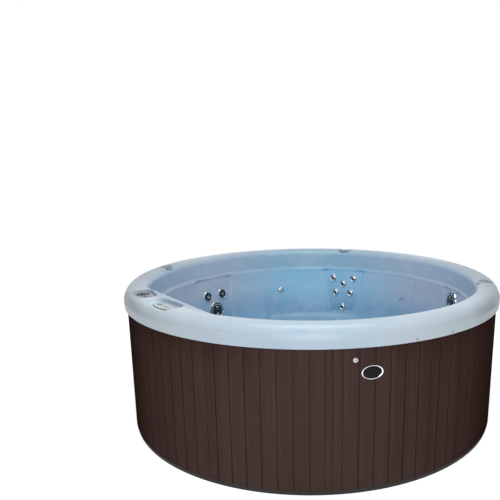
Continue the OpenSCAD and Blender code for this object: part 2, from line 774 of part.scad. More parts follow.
// Cabinet
module skirt_panel(a0, span, low, high) {
    color("saddlebrown") difference() {
        rotate_extrude(angle = span, start = a0)
            translate([cab_in_r, low]) square([panel_t, high - low]);
        for (a = [first_slat : slat_pitch : span - 1]) rotate([0, 0, a0 + span - a])
            translate([cab_r - groove_d, -groove_w / 2, low - 1])
                cube([groove_d * 2, groove_w, high - low + 2]);
    }
}
joint_a = 180 * panel_joint / (3.1416 * cab_r);
module fixed_panels(first, last) {
    for (k = [first : last])
        skirt_panel(strip_a - (k + 1) * panel_span + joint_a, panel_span - joint_a, kerb_h, cab_top_z);
}
module skirt_left() {
    fixed_panels(0, floor(panel_count / 2));
}
module skirt_right() {
    fixed_panels(floor(panel_count / 2) + 1, panel_count - 1);
}
door_gap_a = 180 * door_gap / (3.1416 * cab_r);
module on_cabinet(a, z) {
    rotate([0, 0, a]) translate([cab_r, 0, z]) rotate([0, 90, 0]) children();
}
module access_door() {
    difference() {
        skirt_panel(door_a + door_gap_a, door_span - 2 * door_gap_a, kerb_h + seat_gap, cab_top_z);
        on_cabinet(lock_a, lock_z)
            translate([0, 0, -panel_t * 2]) cylinder(h = panel_t * 4, r = lock_r + run_gap);
    }
}
module seam_strip() {
    color("saddlebrown") rotate_extrude(angle = strip_span - joint_a * 0.5, start = strip_a)
        translate([cab_in_r, kerb_h]) square([panel_t + 1.5, cab_top_z - kerb_h]);
}
lock_reach = panel_t + 10;
module door_lock() {
    color("silver") on_cabinet(lock_a, lock_z) difference() {
        union() {
            translate([0, 0, run_gap]) rotate_extrude()
                polygon([[0, 0], [lock_r + 3, 0], [lock_r + 3, 2], [lock_r + 1, 4], [0, 4]]);
            translate([0, 0, -lock_reach]) cylinder(h = lock_reach + 1, r = lock_r);
            translate([-6, 0, -lock_reach - 3]) cube([12, 13, 4]);
        }
        translate([-1, -4, 2]) cube([2, 8, 10]);
    }
}
module badge_plate() {
    color("black") intersection() {
        on_cabinet(badge_a, badge_z) linear_extrude(60, center = true)
            polygon(ellipse(badge_h / 2, badge_l / 2, 44));
        difference() {
            cylinder(h = tub_h, r = cab_r + badge_t);
            cylinder(h = tub_h, r = cab_r);
        }
    }
}

// Pump, heater and pipes under the platform
module along_y(x, y, z) {
    translate([x, y, z]) rotate([90, 0, 0]) children();
}
module pump_motor() {
    color("darkgray") difference() {
        union() {
            along_y(pump_x, motor_y, pump_z) rotate_extrude() polygon([
                [0, 0], [motor_r, 0], [motor_r, motor_l - 20], [motor_r - 14, motor_l], [0, motor_l]
            ]);
            for (k = [0 : 15]) along_y(pump_x, motor_y - 40, pump_z) rotate([0, 0, k * 22.5 + 11])
                translate([motor_r - 2, -1.5, 0]) cube([7, 3, motor_l - 90]);
            for (y = [motor_y - 50, motor_y - motor_l + 70]) translate([pump_x - 60, y - 15, pan_t])
                cube([120, 30, pump_z - pan_t - motor_r * 0.6]);
            translate([pump_x - 40, motor_y - 160, pump_z + motor_r * 0.75]) cube([80, 90, 34]);
        }
        along_y(pump_x, motor_y + 1, pump_z) cylinder(h = 62, r = shaft_r + run_gap);
    }
}
module pump_wet_end() {
    color("black") difference() {
        union() {
            along_y(pump_x, pump_front_y, pump_z) cylinder(h = wet_l, r = pump_r);
            along_y(pump_x, pump_front_y + 24, pump_z) cylinder(h = 25, r = pipe_r + 5);
            translate([outlet_x, outlet_y, pump_z]) cylinder(h = stub_top - pump_z, r = pipe_r + 5);
        }
        along_y(pump_x, pump_front_y - 12, pump_z) cylinder(h = wet_l - 24, r = pump_r - 12);
        along_y(pump_x, pump_front_y + 40, pump_z) cylinder(h = 60, r = pipe_r - 3);
        along_y(pump_x, pump_front_y - wet_l + 20, pump_z) cylinder(h = 40, r = shaft_r + 4);
        translate([outlet_x, outlet_y, pump_z]) cylinder(h = far, r = pipe_r - 3);
    }
}
module pump_impeller() {
    y0 = pump_front_y - 20;
    color("orange") union() {
        along_y(pump_x, y0 - 16, pump_z) cylinder(h = 4, r = pump_r - 22);
        along_y(pump_x, y0, pump_z) difference() {
            cylinder(h = 4, r = pump_r - 22);
            translate([0, 0, -1]) cylinder(h = 6, r = pipe_r - 4);
        }
        for (k = [0 : 5]) along_y(pump_x, y0 - 3, pump_z) rotate([0, 0, k * 60])
            translate([pipe_r, -1.5, 0]) cube([pump_r - 26 - pipe_r, 3, 14]);
        along_y(pump_x, y0 - 8, pump_z) cylinder(h = wet_l - 28 + 52, r = shaft_r);
    }
}
module tube(r, h) {
    difference() {
        cylinder(h = h, r = r);
        translate([0, 0, -1]) cylinder(h = h + 2, r = r - 4);
    }
}
module on_heater_line(s) {
    translate([outlet_x, outlet_y, main_z]) rotate([0, 0, heater_a]) translate([s, 0, 0])
        rotate([0, 90, 0]) children();
}
module heater() {
    color("silver") {
        on_heater_line(heater_s) tube(heater_r, heater_l);
        for (s = [0, heater_l - 14]) on_heater_line(heater_s + s) difference() {
            cylinder(h = 14, r = heater_r + 8);
            translate([0, 0, -1]) cylinder(h = 16, r = pipe_r - 4);
        }
        on_heater_line(heater_s + 60) translate([-heater_r - 24, -20, 0]) cube([26, 40, 120]);
    }
}
module main_ring(r) {
    translate([0, 0, main_z]) rotate_extrude(angle = main_a[1] - main_a[0], start = main_a[0])
        translate([main_r, 0]) circle(r = r);
}
module pressure_pipe() {
    start = heater_s + heater_l + seat_gap;
    color("white") {
        difference() {
            union() {
                translate([outlet_x, outlet_y, stub_top + seat_gap])
                    cylinder(h = main_z - stub_top, r = pipe_r);
                translate([outlet_x, outlet_y, main_z - pipe_r - 4])
                    cylinder(h = 2 * pipe_r + 8, r = pipe_r + 6);
                on_heater_line(0) cylinder(h = heater_s - seat_gap, r = pipe_r);
            }
            translate([outlet_x, outlet_y, pump_z]) cylinder(h = main_z - pump_z, r = pipe_r - 4);
            on_heater_line(0) cylinder(h = far, r = pipe_r - 5);
        }
        on_heater_line(start) tube(pipe_r, join_s - join_stub - seat_gap - start);
    }
}
module suction_pipe() {
    color("white") along_y(pump_x, suction_y - seat_gap, pump_z)
        tube(pipe_r, suction_y - pump_front_y - 24 - 2 * seat_gap);
}
module water_manifold() {
    color("white") union() {
        difference() {
            main_ring(pipe_r);
            main_ring(pipe_r - 4);
        }
        for (a = main_a) rotate([0, 0, a]) translate([main_r, 0, main_z - pipe_r - 4])
            cylinder(h = 2 * pipe_r + 8, r = pipe_r + 6);
        on_heater_line(join_s - join_stub) cylinder(h = join_stub, r = pipe_r + 3);
        for (k = [3 : panel_count - 1]) rotate([0, 0, strip_a - k * panel_span])
            translate([main_r + pipe_r - 6, -14, main_z - 10])
                cube([post_in_r - main_r - pipe_r + 6, 28, 20]);
        for (p = [0 : len(PODS) - 1]) rotate([0, 0, PODS[p][0]])
            translate([main_r, 0, main_z + pipe_r - 6]) cylinder(h = 22, r = 12);
    }
}
module control_box() {
    color("gray") rotate([0, 0, box_a]) translate([box_out_r - box_size[0], -box_size[1] / 2, pan_t]) {
        cube(box_size);
        translate([box_lid_in, box_lid_in, box_size[2]])
            cube([box_size[0] - 2 * box_lid_in, box_size[1] - 2 * box_lid_in, 4]);
    }
}

SINGLE_NODES = ["base_pan", "frame_posts", "top_ring", "shell_supports", "shell", "skirt_left", "skirt_right",
    "access_door", "seam_strip", "door_lock", "badge_plate", "air_knob_back", "air_knob_left",
    "air_knob_right", "air_valve_bodies", "diverter_knob_rear", "diverter_knob_front", "diverter_bodies",
    "control_panel",
    "display_lens", "panel_button_1", "panel_button_2", "panel_button_3", "filter_housing", "filter_collar",
    "filter_rest", "filter_cap", "filter_cartridge", "suction_cover", "temperature_sensor", "wall_fittings",
    "pump_motor", "pump_wet_end", "pump_impeller", "heater", "control_box", "suction_pipe", "pressure_pipe",
    "water_manifold", "jet_bodies", "foot_jet_left", "foot_jet_right", "front_wall_jet"];

base_pan();
frame_posts();
top_ring();
shell_supports();
shell();
skirt_left();
skirt_right();
access_door();
seam_strip();
door_lock();
badge_plate();
air_knob(0);  // air_knob_back
air_knob(1);  // air_knob_left
air_knob(2);  // air_knob_right
air_valve_bodies();
diverter_knob(0);  // diverter_knob_rear
diverter_knob(1);  // diverter_knob_front
diverter_bodies();
control_panel();
display_lens();
panel_button(0);  // panel_button_1
panel_button(1);  // panel_button_2
panel_button(2);  // panel_button_3
filter_housing();
filter_collar();
filter_rest();
filter_cap();
filter_cartridge();
suction_cover();
temperature_sensor();
wall_fittings();
pump_motor();
pump_wet_end();
pump_impeller();
heater();
control_box();
suction_pipe();
pressure_pipe();
water_manifold();
jet_bodies();
foot_jet_face(-1);  // foot_jet_left
foot_jet_face(1);  // foot_jet_right
wall_jet_face();  // front_wall_jet
for (i = [0 : len(POD_JETS) - 1]) jet_face(i);
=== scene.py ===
import json
import math
import bmesh
import bpy
import numpy as np
from mathutils import Matrix, Vector


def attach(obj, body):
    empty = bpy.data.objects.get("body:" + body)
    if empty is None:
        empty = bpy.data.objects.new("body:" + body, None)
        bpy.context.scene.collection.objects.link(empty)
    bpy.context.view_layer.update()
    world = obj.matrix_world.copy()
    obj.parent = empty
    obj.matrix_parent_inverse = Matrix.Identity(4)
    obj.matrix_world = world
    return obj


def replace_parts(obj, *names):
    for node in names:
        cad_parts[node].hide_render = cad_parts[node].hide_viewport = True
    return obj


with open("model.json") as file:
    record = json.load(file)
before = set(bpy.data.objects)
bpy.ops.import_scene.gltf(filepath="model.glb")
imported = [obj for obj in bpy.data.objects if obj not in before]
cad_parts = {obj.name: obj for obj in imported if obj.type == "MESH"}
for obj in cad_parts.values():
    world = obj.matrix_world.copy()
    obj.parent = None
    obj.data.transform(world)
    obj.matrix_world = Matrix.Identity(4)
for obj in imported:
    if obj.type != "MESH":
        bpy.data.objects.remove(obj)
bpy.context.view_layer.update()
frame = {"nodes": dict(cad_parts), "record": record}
joints = {j["name"]: j for j in frame["record"]["behaviour"]["joints"]}
mm = 0.001
print("frame loaded")


# helpers for meshes
def polarAt(radius, degrees):
    a = math.radians(degrees)
    return radius * math.cos(a), radius * math.sin(a)


def arcPoints(centre, radius, start, end, steps):
    spread = [math.radians(start + (end - start) * i / steps) for i in range(steps + 1)]
    return [(centre[0] + radius * math.cos(a), centre[1] + radius * math.sin(a)) for a in spread]


def makePiece(name, vertices, faces, material, body, slotName, sharpOver=40):
    mesh = bpy.data.meshes.new(name)
    mesh.from_pydata([tuple(v) for v in vertices], [], [tuple(f) for f in faces])
    mesh.validate()
    mesh.materials.append(material)
    piece = bpy.data.objects.new(name, mesh)
    bpy.context.scene.collection.objects.link(piece)
    tidyNormals(mesh, sharpOver)
    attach(piece, body)
    return piece


def tidyNormals(mesh, sharpOver):
    # faces turned outward and smooth, except across edges sharper than that many degrees
    work = bmesh.new()
    work.from_mesh(mesh)
    bmesh.ops.recalc_face_normals(work, faces=work.faces)
    limit = math.radians(sharpOver)
    for face in work.faces:
        face.smooth = True
    for edge in work.edges:
        edge.smooth = len(edge.link_faces) == 2 and edge.calc_face_angle(0) < limit
    work.to_mesh(mesh)
    work.free()


def joinParts(parts):
    # several (vertices, faces) lists as one
    allVertices, allFaces = [], []
    for vertices, faces in parts:
        base = len(allVertices)
        allVertices.extend(vertices)
        allFaces.extend([tuple(base + i for i in f) for f in faces])
    return allVertices, allFaces


def moved(part, matrix):
    return [tuple(matrix @ Vector(v)) for v in part[0]], part[1]


def lathe(profile, steps, shape=None):
    # profile of (radius, height) from axis to axis or as a closed loop; shape(angle, index) scales the radius
    vertices, faces, rings = [], [], []
    for index, (radius, height) in enumerate(profile):
        if radius < 1e-6:
            rings.append([len(vertices)])
            vertices.append((0, 0, height))
            continue
        ring = []
        for k in range(steps):
            a = 2 * math.pi * k / steps
            grow = shape(a, index) if shape else 1
            ring.append(len(vertices))
            vertices.append((radius * grow * math.cos(a), radius * grow * math.sin(a), height))
        rings.append(ring)
    closed = len(rings[0]) > 1 and len(rings[-1]) > 1
    pairs = list(zip(rings, rings[1:])) + ([(rings[-1], rings[0])] if closed else [])
    for low, high in pairs:
        for k in range(steps):
            n = (k + 1) % steps
            if len(low) == 1 and len(high) > 1:
                faces.append((low[0], high[n], high[k]))
            elif len(high) == 1 and len(low) > 1:
                faces.append((low[k], low[n], high[0]))
            elif len(low) > 1:
                faces.append((low[k], low[n], high[n], high[k]))
    return vertices, faces


def ringWalls(levels, count):
    # quads between rings of that many points, stacked one on the other
    faces = []
    for base in range(0, (levels - 1) * count, count):
        for k in range(count):
            n = (k + 1) % count
            faces.append((base + k, base + n, base + count + n, base + count + k))
    return faces


def ringCaps(levels, count):
    # the top and bottom of such a stack
    return [tuple(range((levels - 1) * count, levels * count)), tuple(range(count))[::-1]]


def extruded(outline, low, high, edge=0.0):
    # a plate of that outline with chamfered edges; the outline is convex or nearly so
    count = len(outline)
    cx = sum(p[0] for p in outline) / count
    cy = sum(p[1] for p in outline) / count

    def inset(amount):
        ring = []
        for x, y in outline:
            d = math.hypot(x - cx, y - cy) or 1
            ring.append((x - (x - cx) / d * amount, y - (y - cy) / d * amount))
        return ring
    levels = [(low, 0), (high, 0)]
    if edge:
        levels = [(low, edge), (low + edge, 0), (high - edge, 0), (high, edge)]
    vertices = [(x, y, z) for z, amount in levels for x, y in inset(amount)]
    return vertices, ringCaps(len(levels), count)[::-1] + ringWalls(len(levels), count)


def ovalOutline(a, b, steps):
    turns = [2 * math.pi * k / steps for k in range(steps)]
    return [(a * math.cos(t), b * math.sin(t)) for t in turns]


def boxOutline(half, low, high):
    return [(-half, low), (half, low), (half, high), (-half, high)]


def jointFrame(name):
    # where a turning piece sits: +Z along its axis, +X up the wall or out from the tub's middle
    joint = joints[name]
    z = Vector(joint["axis"]).normalized()
    place = Vector(joint["pos_m"])
    up = Vector((0, 0, 1))
    if abs(z.z) > 0.9:
        up = Vector((place.x, place.y, 0))
    x = (up - z * up.dot(z)).normalized()
    y = z.cross(x)
    return Matrix.Translation(place) @ Matrix((x, y, z)).transposed().to_4x4()


# helpers for materials
class Wire:
    def __init__(self, graph, socket):
        self.graph = graph
        self.socket = socket

    def math(self, operation, *others, swap=False):
        values = [self, *others]
        if swap:
            values.reverse()
        return self.graph.add("ShaderNodeMath", {"operation": operation}, dict(enumerate(values)))

    def __add__(self, other):
        return self.math("ADD", other)

    def __radd__(self, other):
        return self.math("ADD", other, swap=True)

    def __sub__(self, other):
        return self.math("SUBTRACT", other)

    def __rsub__(self, other):
        return self.math("SUBTRACT", other, swap=True)

    def __mul__(self, other):
        return self.math("MULTIPLY", other)

    def __rmul__(self, other):
        return self.math("MULTIPLY", other, swap=True)

    def __truediv__(self, other):
        return self.math("DIVIDE", other)

    def __rtruediv__(self, other):
        return self.math("DIVIDE", other, swap=True)

    def clamped(self):
        return self.math("MAXIMUM", 0.0).math("MINIMUM", 1.0)


class Graph:
    def __init__(self, name):
        self.material = bpy.data.materials.new(name)
        self.material.use_nodes = True
        self.tree = self.material.node_tree
        self.tree.nodes.clear()
        self.shader = self.tree.nodes.new("ShaderNodeBsdfPrincipled")
        self.output = self.tree.nodes.new("ShaderNodeOutputMaterial")
        self.tree.links.new(self.shader.outputs[0], self.output.inputs[0])

    def put(self, socket, value):
        if isinstance(value, Wire):
            self.tree.links.new(value.socket, socket)
        elif isinstance(value, (tuple, list)) and len(value) == 3 and socket.type == "RGBA":
            socket.default_value = (*value, 1)
        else:
            socket.default_value = value

    def add(self, kind, settings=None, sockets=None, out=0):
        node = self.tree.nodes.new(kind)
        for key, value in (settings or {}).items():
            setattr(node, key, value)
        for key, value in (sockets or {}).items():
            self.put(node.inputs[key], value)
        return Wire(self, node.outputs[out])

    def set(self, **sockets):
        for key, value in sockets.items():
            self.put(self.shader.inputs[key.replace("_", " ")], value)
        return self

    def mixColour(self, factor, first, second):
        settings = {"data_type": "RGBA"}
        return self.add("ShaderNodeMix", settings, {0: factor, 6: first, 7: second}, out=2)

    def place(self):
        return self.add("ShaderNodeTexCoord", out="Object")

    def noise(self, scale, detail, vector=None, roughness=0.5):
        sockets = {"Scale": scale, "Detail": detail, "Roughness": roughness}
        sockets["Vector"] = vector or self.place()
        return self.add("ShaderNodeTexNoise", None, sockets)

    def axes(self):
        split = self.add("ShaderNodeSeparateXYZ", None, {0: self.place()})
        return [Wire(self, split.socket.node.outputs[i]) for i in range(3)]

    def stretch(self, scale):
        return self.add("ShaderNodeVectorMath", {"operation": "MULTIPLY"}, {0: self.place(), 1: scale})

    def bump(self, height, strength, distance):
        sockets = {"Strength": strength, "Distance": distance, "Height": height}
        return self.add("ShaderNodeBump", None, sockets)


def plainFinish(name, colour, roughness, metallic=0.0, coat=0.0, grain=0.0, grainScale=900.0, spread=0.08,
                shine=0.5):
    # a finish that is nearly even: slight tone and gloss change, and a fine surface grain
    g = Graph(name)
    tone = g.noise(35.0, 4.0)
    dark = tuple(c * (1 - spread) for c in colour)
    light = tuple(min(1, c * (1 + spread)) for c in colour)
    g.set(Base_Color=g.mixColour(tone, dark, light), Metallic=metallic, Specular_IOR_Level=shine)
    g.set(Roughness=tone * 0.1 + (roughness - 0.05))
    if coat:
        g.set(Coat_Weight=coat, Coat_Roughness=0.05)
    if grain:
        g.set(Normal=g.bump(g.noise(grainScale, 2.0), grain, 0.0004))
    return g.material


def mapRange(wire, low, high):
    # 0 below the low end, 1 above the high one
    return ((wire - low) / (high - low)).clamped()


def acrylicFinish():
    # marbled acrylic: pale on the rim, sky blue in the middle of the bowl; painted shade greys the walls
    # toward the left and right sides, painted light lightens the rim toward its sides, and painted shade
    # darkens the rim's left and right ends
    look = {"rim": (0.60, 0.76, 0.90), "paintedLightRimSide": (0.73, 0.84, 0.92), "paintedShadeRimEnd": (0.27, 0.31, 0.37),
            "wall": (0.36, 0.70, 0.93), "paintedShadeWallSide": (0.54, 0.61, 0.74), "seat": (0.235, 0.45, 0.66),
            "floor": (0.42, 0.67, 0.80), "innerRim": (0.36, 0.58, 0.74), "vein": (0.80, 0.87, 0.93),
            "shade": (0.25, 0.38, 0.56), "veins": 0.18, "shades": 0.12, "coat": 0.12}
    g = Graph("acrylic")
    x, y, z = g.axes()
    r = (x * x + y * y).math("SQRT")
    aside = x.math("ABSOLUTE")
    # side grows with the distance from the middle in x and sets how much painted shade greys the walls
    side = mapRange(aside, 0.22, 0.62)
    lower = g.mixColour(mapRange(z, 0.12, 0.31), look["floor"], look["seat"])
    wall = g.mixColour(side, look["wall"], look["paintedShadeWallSide"])
    middle = g.mixColour(mapRange(z, 0.33, 0.50), lower, wall)
    inner = g.mixColour(side * 0.75, look["innerRim"], look["paintedShadeWallSide"])
    upper = g.mixColour(mapRange(z, 0.60, 0.64), middle, inner)
    # painted light on the rim toward its sides, then painted shade at its left and right ends
    paler = g.mixColour(mapRange(aside, 0.15, 0.5), look["rim"], look["paintedLightRimSide"])
    outer = g.mixColour(mapRange(aside, 0.72, 1.0), paler, look["paintedShadeRimEnd"])
    colour = g.mixColour(mapRange(r, 0.868, 0.905), upper, outer)
    swirl = g.noise(3.0, 6.0, roughness=0.6)
    cloud = g.noise(11.0, 8.0, g.stretch((1.0, 1.0, 1.6)), 0.65)
    veined = g.mixColour(mapRange(cloud, 0.44, 0.66) * look["veins"], colour, look["vein"])
    shaded = g.mixColour(mapRange(swirl, 0.45, 0.7) * look["shades"], veined, look["shade"])
    g.set(Base_Color=shaded, Roughness=cloud * 0.10 + 0.30, Coat_Weight=look["coat"])
    g.set(Coat_Roughness=0.2, Specular_IOR_Level=0.4)
    g.set(Normal=g.bump(g.noise(60.0, 2.0), 0.05, 0.0005))
    return g.material


def slatFinish():
    # dark stained timber, grain running up each slat, each slat a little different, with painted shade
    # darkening it toward the left and right sides
    look = {"dark": (0.044, 0.021, 0.017), "light": (0.078, 0.040, 0.033), "pore": (0.014, 0.007, 0.005),
            "edge": (0.020, 0.011, 0.009), "pitch": 3.95, "radius": 0.976, "sheen": 0.42}
    g = Graph("cabinetTimber")
    x, y, z = g.axes()
    angle = y.math("ARCTAN2", x)
    across = angle * look["radius"]
    slatNumber = (angle * (180 / math.pi / look["pitch"])).math("FLOOR")
    along = g.add("ShaderNodeCombineXYZ", None, {0: across * 55.0, 1: slatNumber * 7.31, 2: z * 1.9})
    grain = g.noise(1.6, 9.0, along, 0.62)
    fine = g.add("ShaderNodeCombineXYZ", None, {0: across * 420.0, 1: slatNumber * 3.7, 2: z * 9.0})
    pores = g.noise(1.0, 4.0, fine, 0.6)
    perSlat = g.add("ShaderNodeTexWhiteNoise", {"noise_dimensions": "1D"}, {"W": slatNumber})
    tone = (mapRange(grain, 0.30, 0.72) * 0.7 + perSlat * 0.3).clamped()
    stained = g.mixColour(tone, look["dark"], look["light"])
    aside = x.math("ABSOLUTE")
    colour = g.mixColour(mapRange(pores, 0.55, 0.8) * 0.35, stained, look["pore"])
    # painted shade: the edge colour darkens the timber toward the left and right sides, where it turns from
    # the light
    colour = g.mixColour(mapRange(aside, 0.70, 0.98) * 0.5, colour, look["edge"])
    sheen = mapRange(0.85 - aside, 0.0, 0.55) * look["sheen"]
    g.set(Base_Color=colour, Roughness=0.75 - tone * 0.1, Specular_IOR_Level=0.0, Coat_Weight=sheen)
    g.set(Coat_Roughness=0.55)
    g.set(Normal=g.bump(pores * 0.6 + grain * 0.4, 0.35, 0.0006))
    return g.material


def studFinish():
    g = Graph("frameTimber")
    along = g.stretch((26.0, 26.0, 2.2))
    grain = g.noise(1.5, 8.0, along, 0.6)
    colour = g.mixColour(mapRange(grain, 0.35, 0.68), (0.52, 0.36, 0.20), (0.70, 0.53, 0.33))
    g.set(Base_Color=colour, Roughness=0.7, Normal=g.bump(grain, 0.3, 0.0008))
    return g.material


def brushedFinish(name, colour, stretch):
    g = Graph(name)
    lines = g.noise(40.0, 3.0, g.stretch(stretch))
    g.set(Base_Color=g.mixColour(lines, tuple(c * 0.85 for c in colour), colour), Metallic=1.0)
    g.set(Roughness=lines * 0.2 + 0.2)
    return g.material


def pleatFinish():
    g = Graph("pleatedPaper")
    fibre = g.noise(700.0, 5.0)
    g.set(Base_Color=g.mixColour(fibre, (0.74, 0.74, 0.70), (0.90, 0.90, 0.88)), Roughness=0.9)
    g.set(Normal=g.bump(fibre, 0.4, 0.0006))
    return g.material


finishes = {
    "acrylic": acrylicFinish(),
    "slat": slatFinish(),
    "stud": studFinish(),
    "chrome": plainFinish("chrome", (0.86, 0.87, 0.88), 0.17, metallic=1.0, spread=0.03),
    "blackGloss": plainFinish("blackGloss", (0.012, 0.013, 0.016), 0.18, coat=0.4),
    "blackSatin": plainFinish("blackSatin", (0.020, 0.022, 0.026), 0.42, grain=0.1),
    "badgeBlack": plainFinish("badgeBlack", (0.006, 0.006, 0.007), 0.3, shine=0.15),
    "pan": plainFinish("blackPan", (0.010, 0.010, 0.011), 0.6, grain=0.3),
    "foam": plainFinish("supportFoam", (0.55, 0.55, 0.52), 0.85, grain=0.5, grainScale=400.0),
    "knob": plainFinish("knobGrey", (0.22, 0.30, 0.37), 0.28, coat=0.3),
    "diverter": plainFinish("diverterGrey", (0.055, 0.07, 0.085), 0.3, coat=0.3),
    "valve": plainFinish("valveGrey", (0.50, 0.60, 0.68), 0.3, coat=0.3),
    "panel": plainFinish("panelGrey", (0.66, 0.72, 0.77), 0.28, coat=0.4),
    "button": plainFinish("buttonGrey", (0.30, 0.37, 0.44), 0.5, grain=0.15),
    "filter": plainFinish("filterGrey", (0.030, 0.038, 0.044), 0.4, grain=0.1),
    "filterRing": plainFinish("filterRing", (0.17, 0.24, 0.34), 0.3, coat=0.2),
    "cap": plainFinish("filterCap", (0.030, 0.035, 0.028), 0.45, grain=0.1),
    "pleat": pleatFinish(),
    "motor": plainFinish("motorPaint", (0.10, 0.11, 0.13), 0.45, grain=0.2),
    "impeller": plainFinish("impellerPlastic", (0.42, 0.19, 0.05), 0.45),
    "steel": brushedFinish("brushedSteel", (0.62, 0.62, 0.63), (1.0, 12.0, 12.0)),
    "pipe": plainFinish("pipeWhite", (0.76, 0.76, 0.73), 0.35, spread=0.04),
    "box": plainFinish("boxGrey", (0.16, 0.17, 0.18), 0.5, grain=0.25),
}
print("finishes made")

# shell: a field below zero under the moulded surface, meshed there and given the sheet's thickness
shell = {  # lengths in mm, angles in degrees
    "radius": 990.0, "height": 740.0, "bowl": 854.0, "crease": 614.0, "creaseLedge": 6.0,
    "wallArc": 1100.0, "wallLean": 2.6, "seat": 297.0, "backSeat": 259.0, "seatCove": 70.0,
    "backSeatFrom": 41.6, "backSeatTo": 116.0, "well": 471.0, "floor": 75.0, "wellLean": 22.5,
    "wellCove": 45.0, "ledgeX": -222.3, "ledgeY": -542.5, "ledgeAcross": 0.9969, "ledgeAlong": 0.0793,
    "platform": 376.0, "ledge": 501.0, "ledgeFront": -440.0, "frontDraft": 18.0,
    "platformCorner": 306.0, "platformTurn": 54.0, "dome": 150.0, "domeRadius": 60.0, "domeDraft": 44.0,
    "domeX": 238.0, "domeY": -226.0, "podMid": 450.0, "podDepth": 7.0, "podLean": 6.0,
    "innerRoll": 38.0, "rimLean": 5.0, "outerRoll": 58.0, "lipStep": 3.0, "lipTop": 690.0, "lipEdge": 648.0,
    "deckAngle": 221.5, "deckFace": 824.0, "deckDraft": 3.0, "deckBack": 915.0, "recess": 722.0,
    "knobRing": 906.0, "thickness": 7.5, "grid": 8.0, "quickGrid": 14.0,
    "mouthX": -372.0, "mouthY": -604.0, "mouthRadius": 99.5, "mouthBand": 12.0, "fineFrom": 590.0,
    "podInner": 600.0, "lipInner": 900.0, "underRim": 945.0,
}
# angle, low and high end, width at each end
pods = [(78.2, 312, 612, 124, 306), (141.7, 322, 612, 196, 296), (189.0, 318, 612, 100, 112),
        (16.4, 322, 612, 170, 208), (-30.5, 304, 612, 150, 190)]
# angle, spread across and radius of each slot in the rim
recesses = [(78.5, 0, 45.0), (165.8, 0, 45.0), (351.8, 0, 45.0), (210.3, 91.5, 45.0), (225.7, 120.0, 52.0)]
soften = {
    "seatStep": 12.0, "backSeat": 14.0, "wellEdge": 26.0, "platformCorner": 22.0, "platformEdge": 18.0,
    "ledgeCorner": 95.0, "ledgeEdge": 18.0, "ledgeFoot": 18.0, "massFoot": 24.0, "domeEdge": 14.0, "pod": 5.0,
    "podEnd": 12.0, "podEdge": 3.0, "recess": 4.0, "recessFloor": 5.0, "deckEdge": 6.0, "deckFoot": 10.0,
    "deckRim": 4.0, "lipEdge": 3.0, "lipFoot": 2.0, "crease": 10.0, "rimFoot": 9.0,
}


def roundMax(a, b, radius):
    # where both hold, with their corner rounded
    corner = np.hypot(np.maximum(a + radius, 0), np.maximum(b + radius, 0))
    return np.minimum(-radius, np.maximum(a, b)) + corner


def roundMin(a, b, radius):
    return -roundMax(-a, -b, radius)


def sector(x, y, first, last):
    # below zero between those two angles
    a, b = math.radians(first), math.radians(last)
    return np.maximum(x * math.sin(a) - y * math.cos(a), y * math.cos(b) - x * math.sin(b))


def seatingField(x, y, z, r):
    # the room in the bowl: above the seats and in the footwell
    s = shell
    lean = math.radians(s["wallLean"])
    wallX = s["bowl"] - s["wallArc"] * math.cos(lean)
    wallZ = s["crease"] + s["wallArc"] * math.sin(lean)
    wall = np.hypot(r - wallX, z - wallZ) - s["wallArc"]
    bowl = roundMax(wall, s["seat"] - z, s["seatCove"])
    lower = roundMax(wall, s["backSeat"] - z, s["seatCove"])
    backSeat = roundMax(lower, sector(x, y, s["backSeatFrom"], s["backSeatTo"]), soften["backSeat"])
    tilt = math.radians(s["wellLean"])
    cone = (r - s["well"] + (s["seat"] - z) * math.tan(tilt)) * math.cos(tilt)
    well = roundMax(cone, s["floor"] - z, s["wellCove"])
    hollow = roundMin(bowl, backSeat, soften["seatStep"])
    return roundMin(hollow, well, soften["wellEdge"]), wallX, wallZ


def podField(x, y, z, wallX, wallZ):
    # flat faces sunk in the wall for the jets
    s = shell
    lean = math.radians(s["podLean"])
    start = wallX + math.sqrt(s["wallArc"] ** 2 - (s["podMid"] - wallZ) ** 2) + s["podDepth"]
    best = None
    for angle, low, high, narrow, wide in pods:
        a = math.radians(angle)
        out = x * math.cos(a) + y * math.sin(a)
        across = np.abs(y * math.cos(a) - x * math.sin(a))
        face = (out - start - (z - s["podMid"]) * math.tan(lean)) * math.cos(lean)
        spread = narrow / 2 + (wide - narrow) / 2 * (z - low) / (high - low)
        sides = (across - spread) * math.cos(math.atan((wide - narrow) / 2 / (high - low)))
        ends = np.maximum(low - z, z - high)
        pod = roundMax(roundMax(face, sides, soften["pod"]), ends, soften["podEnd"])
        pod = np.maximum(pod, s["podInner"] - out)
        best = pod if best is None else np.minimum(best, pod)
    return best


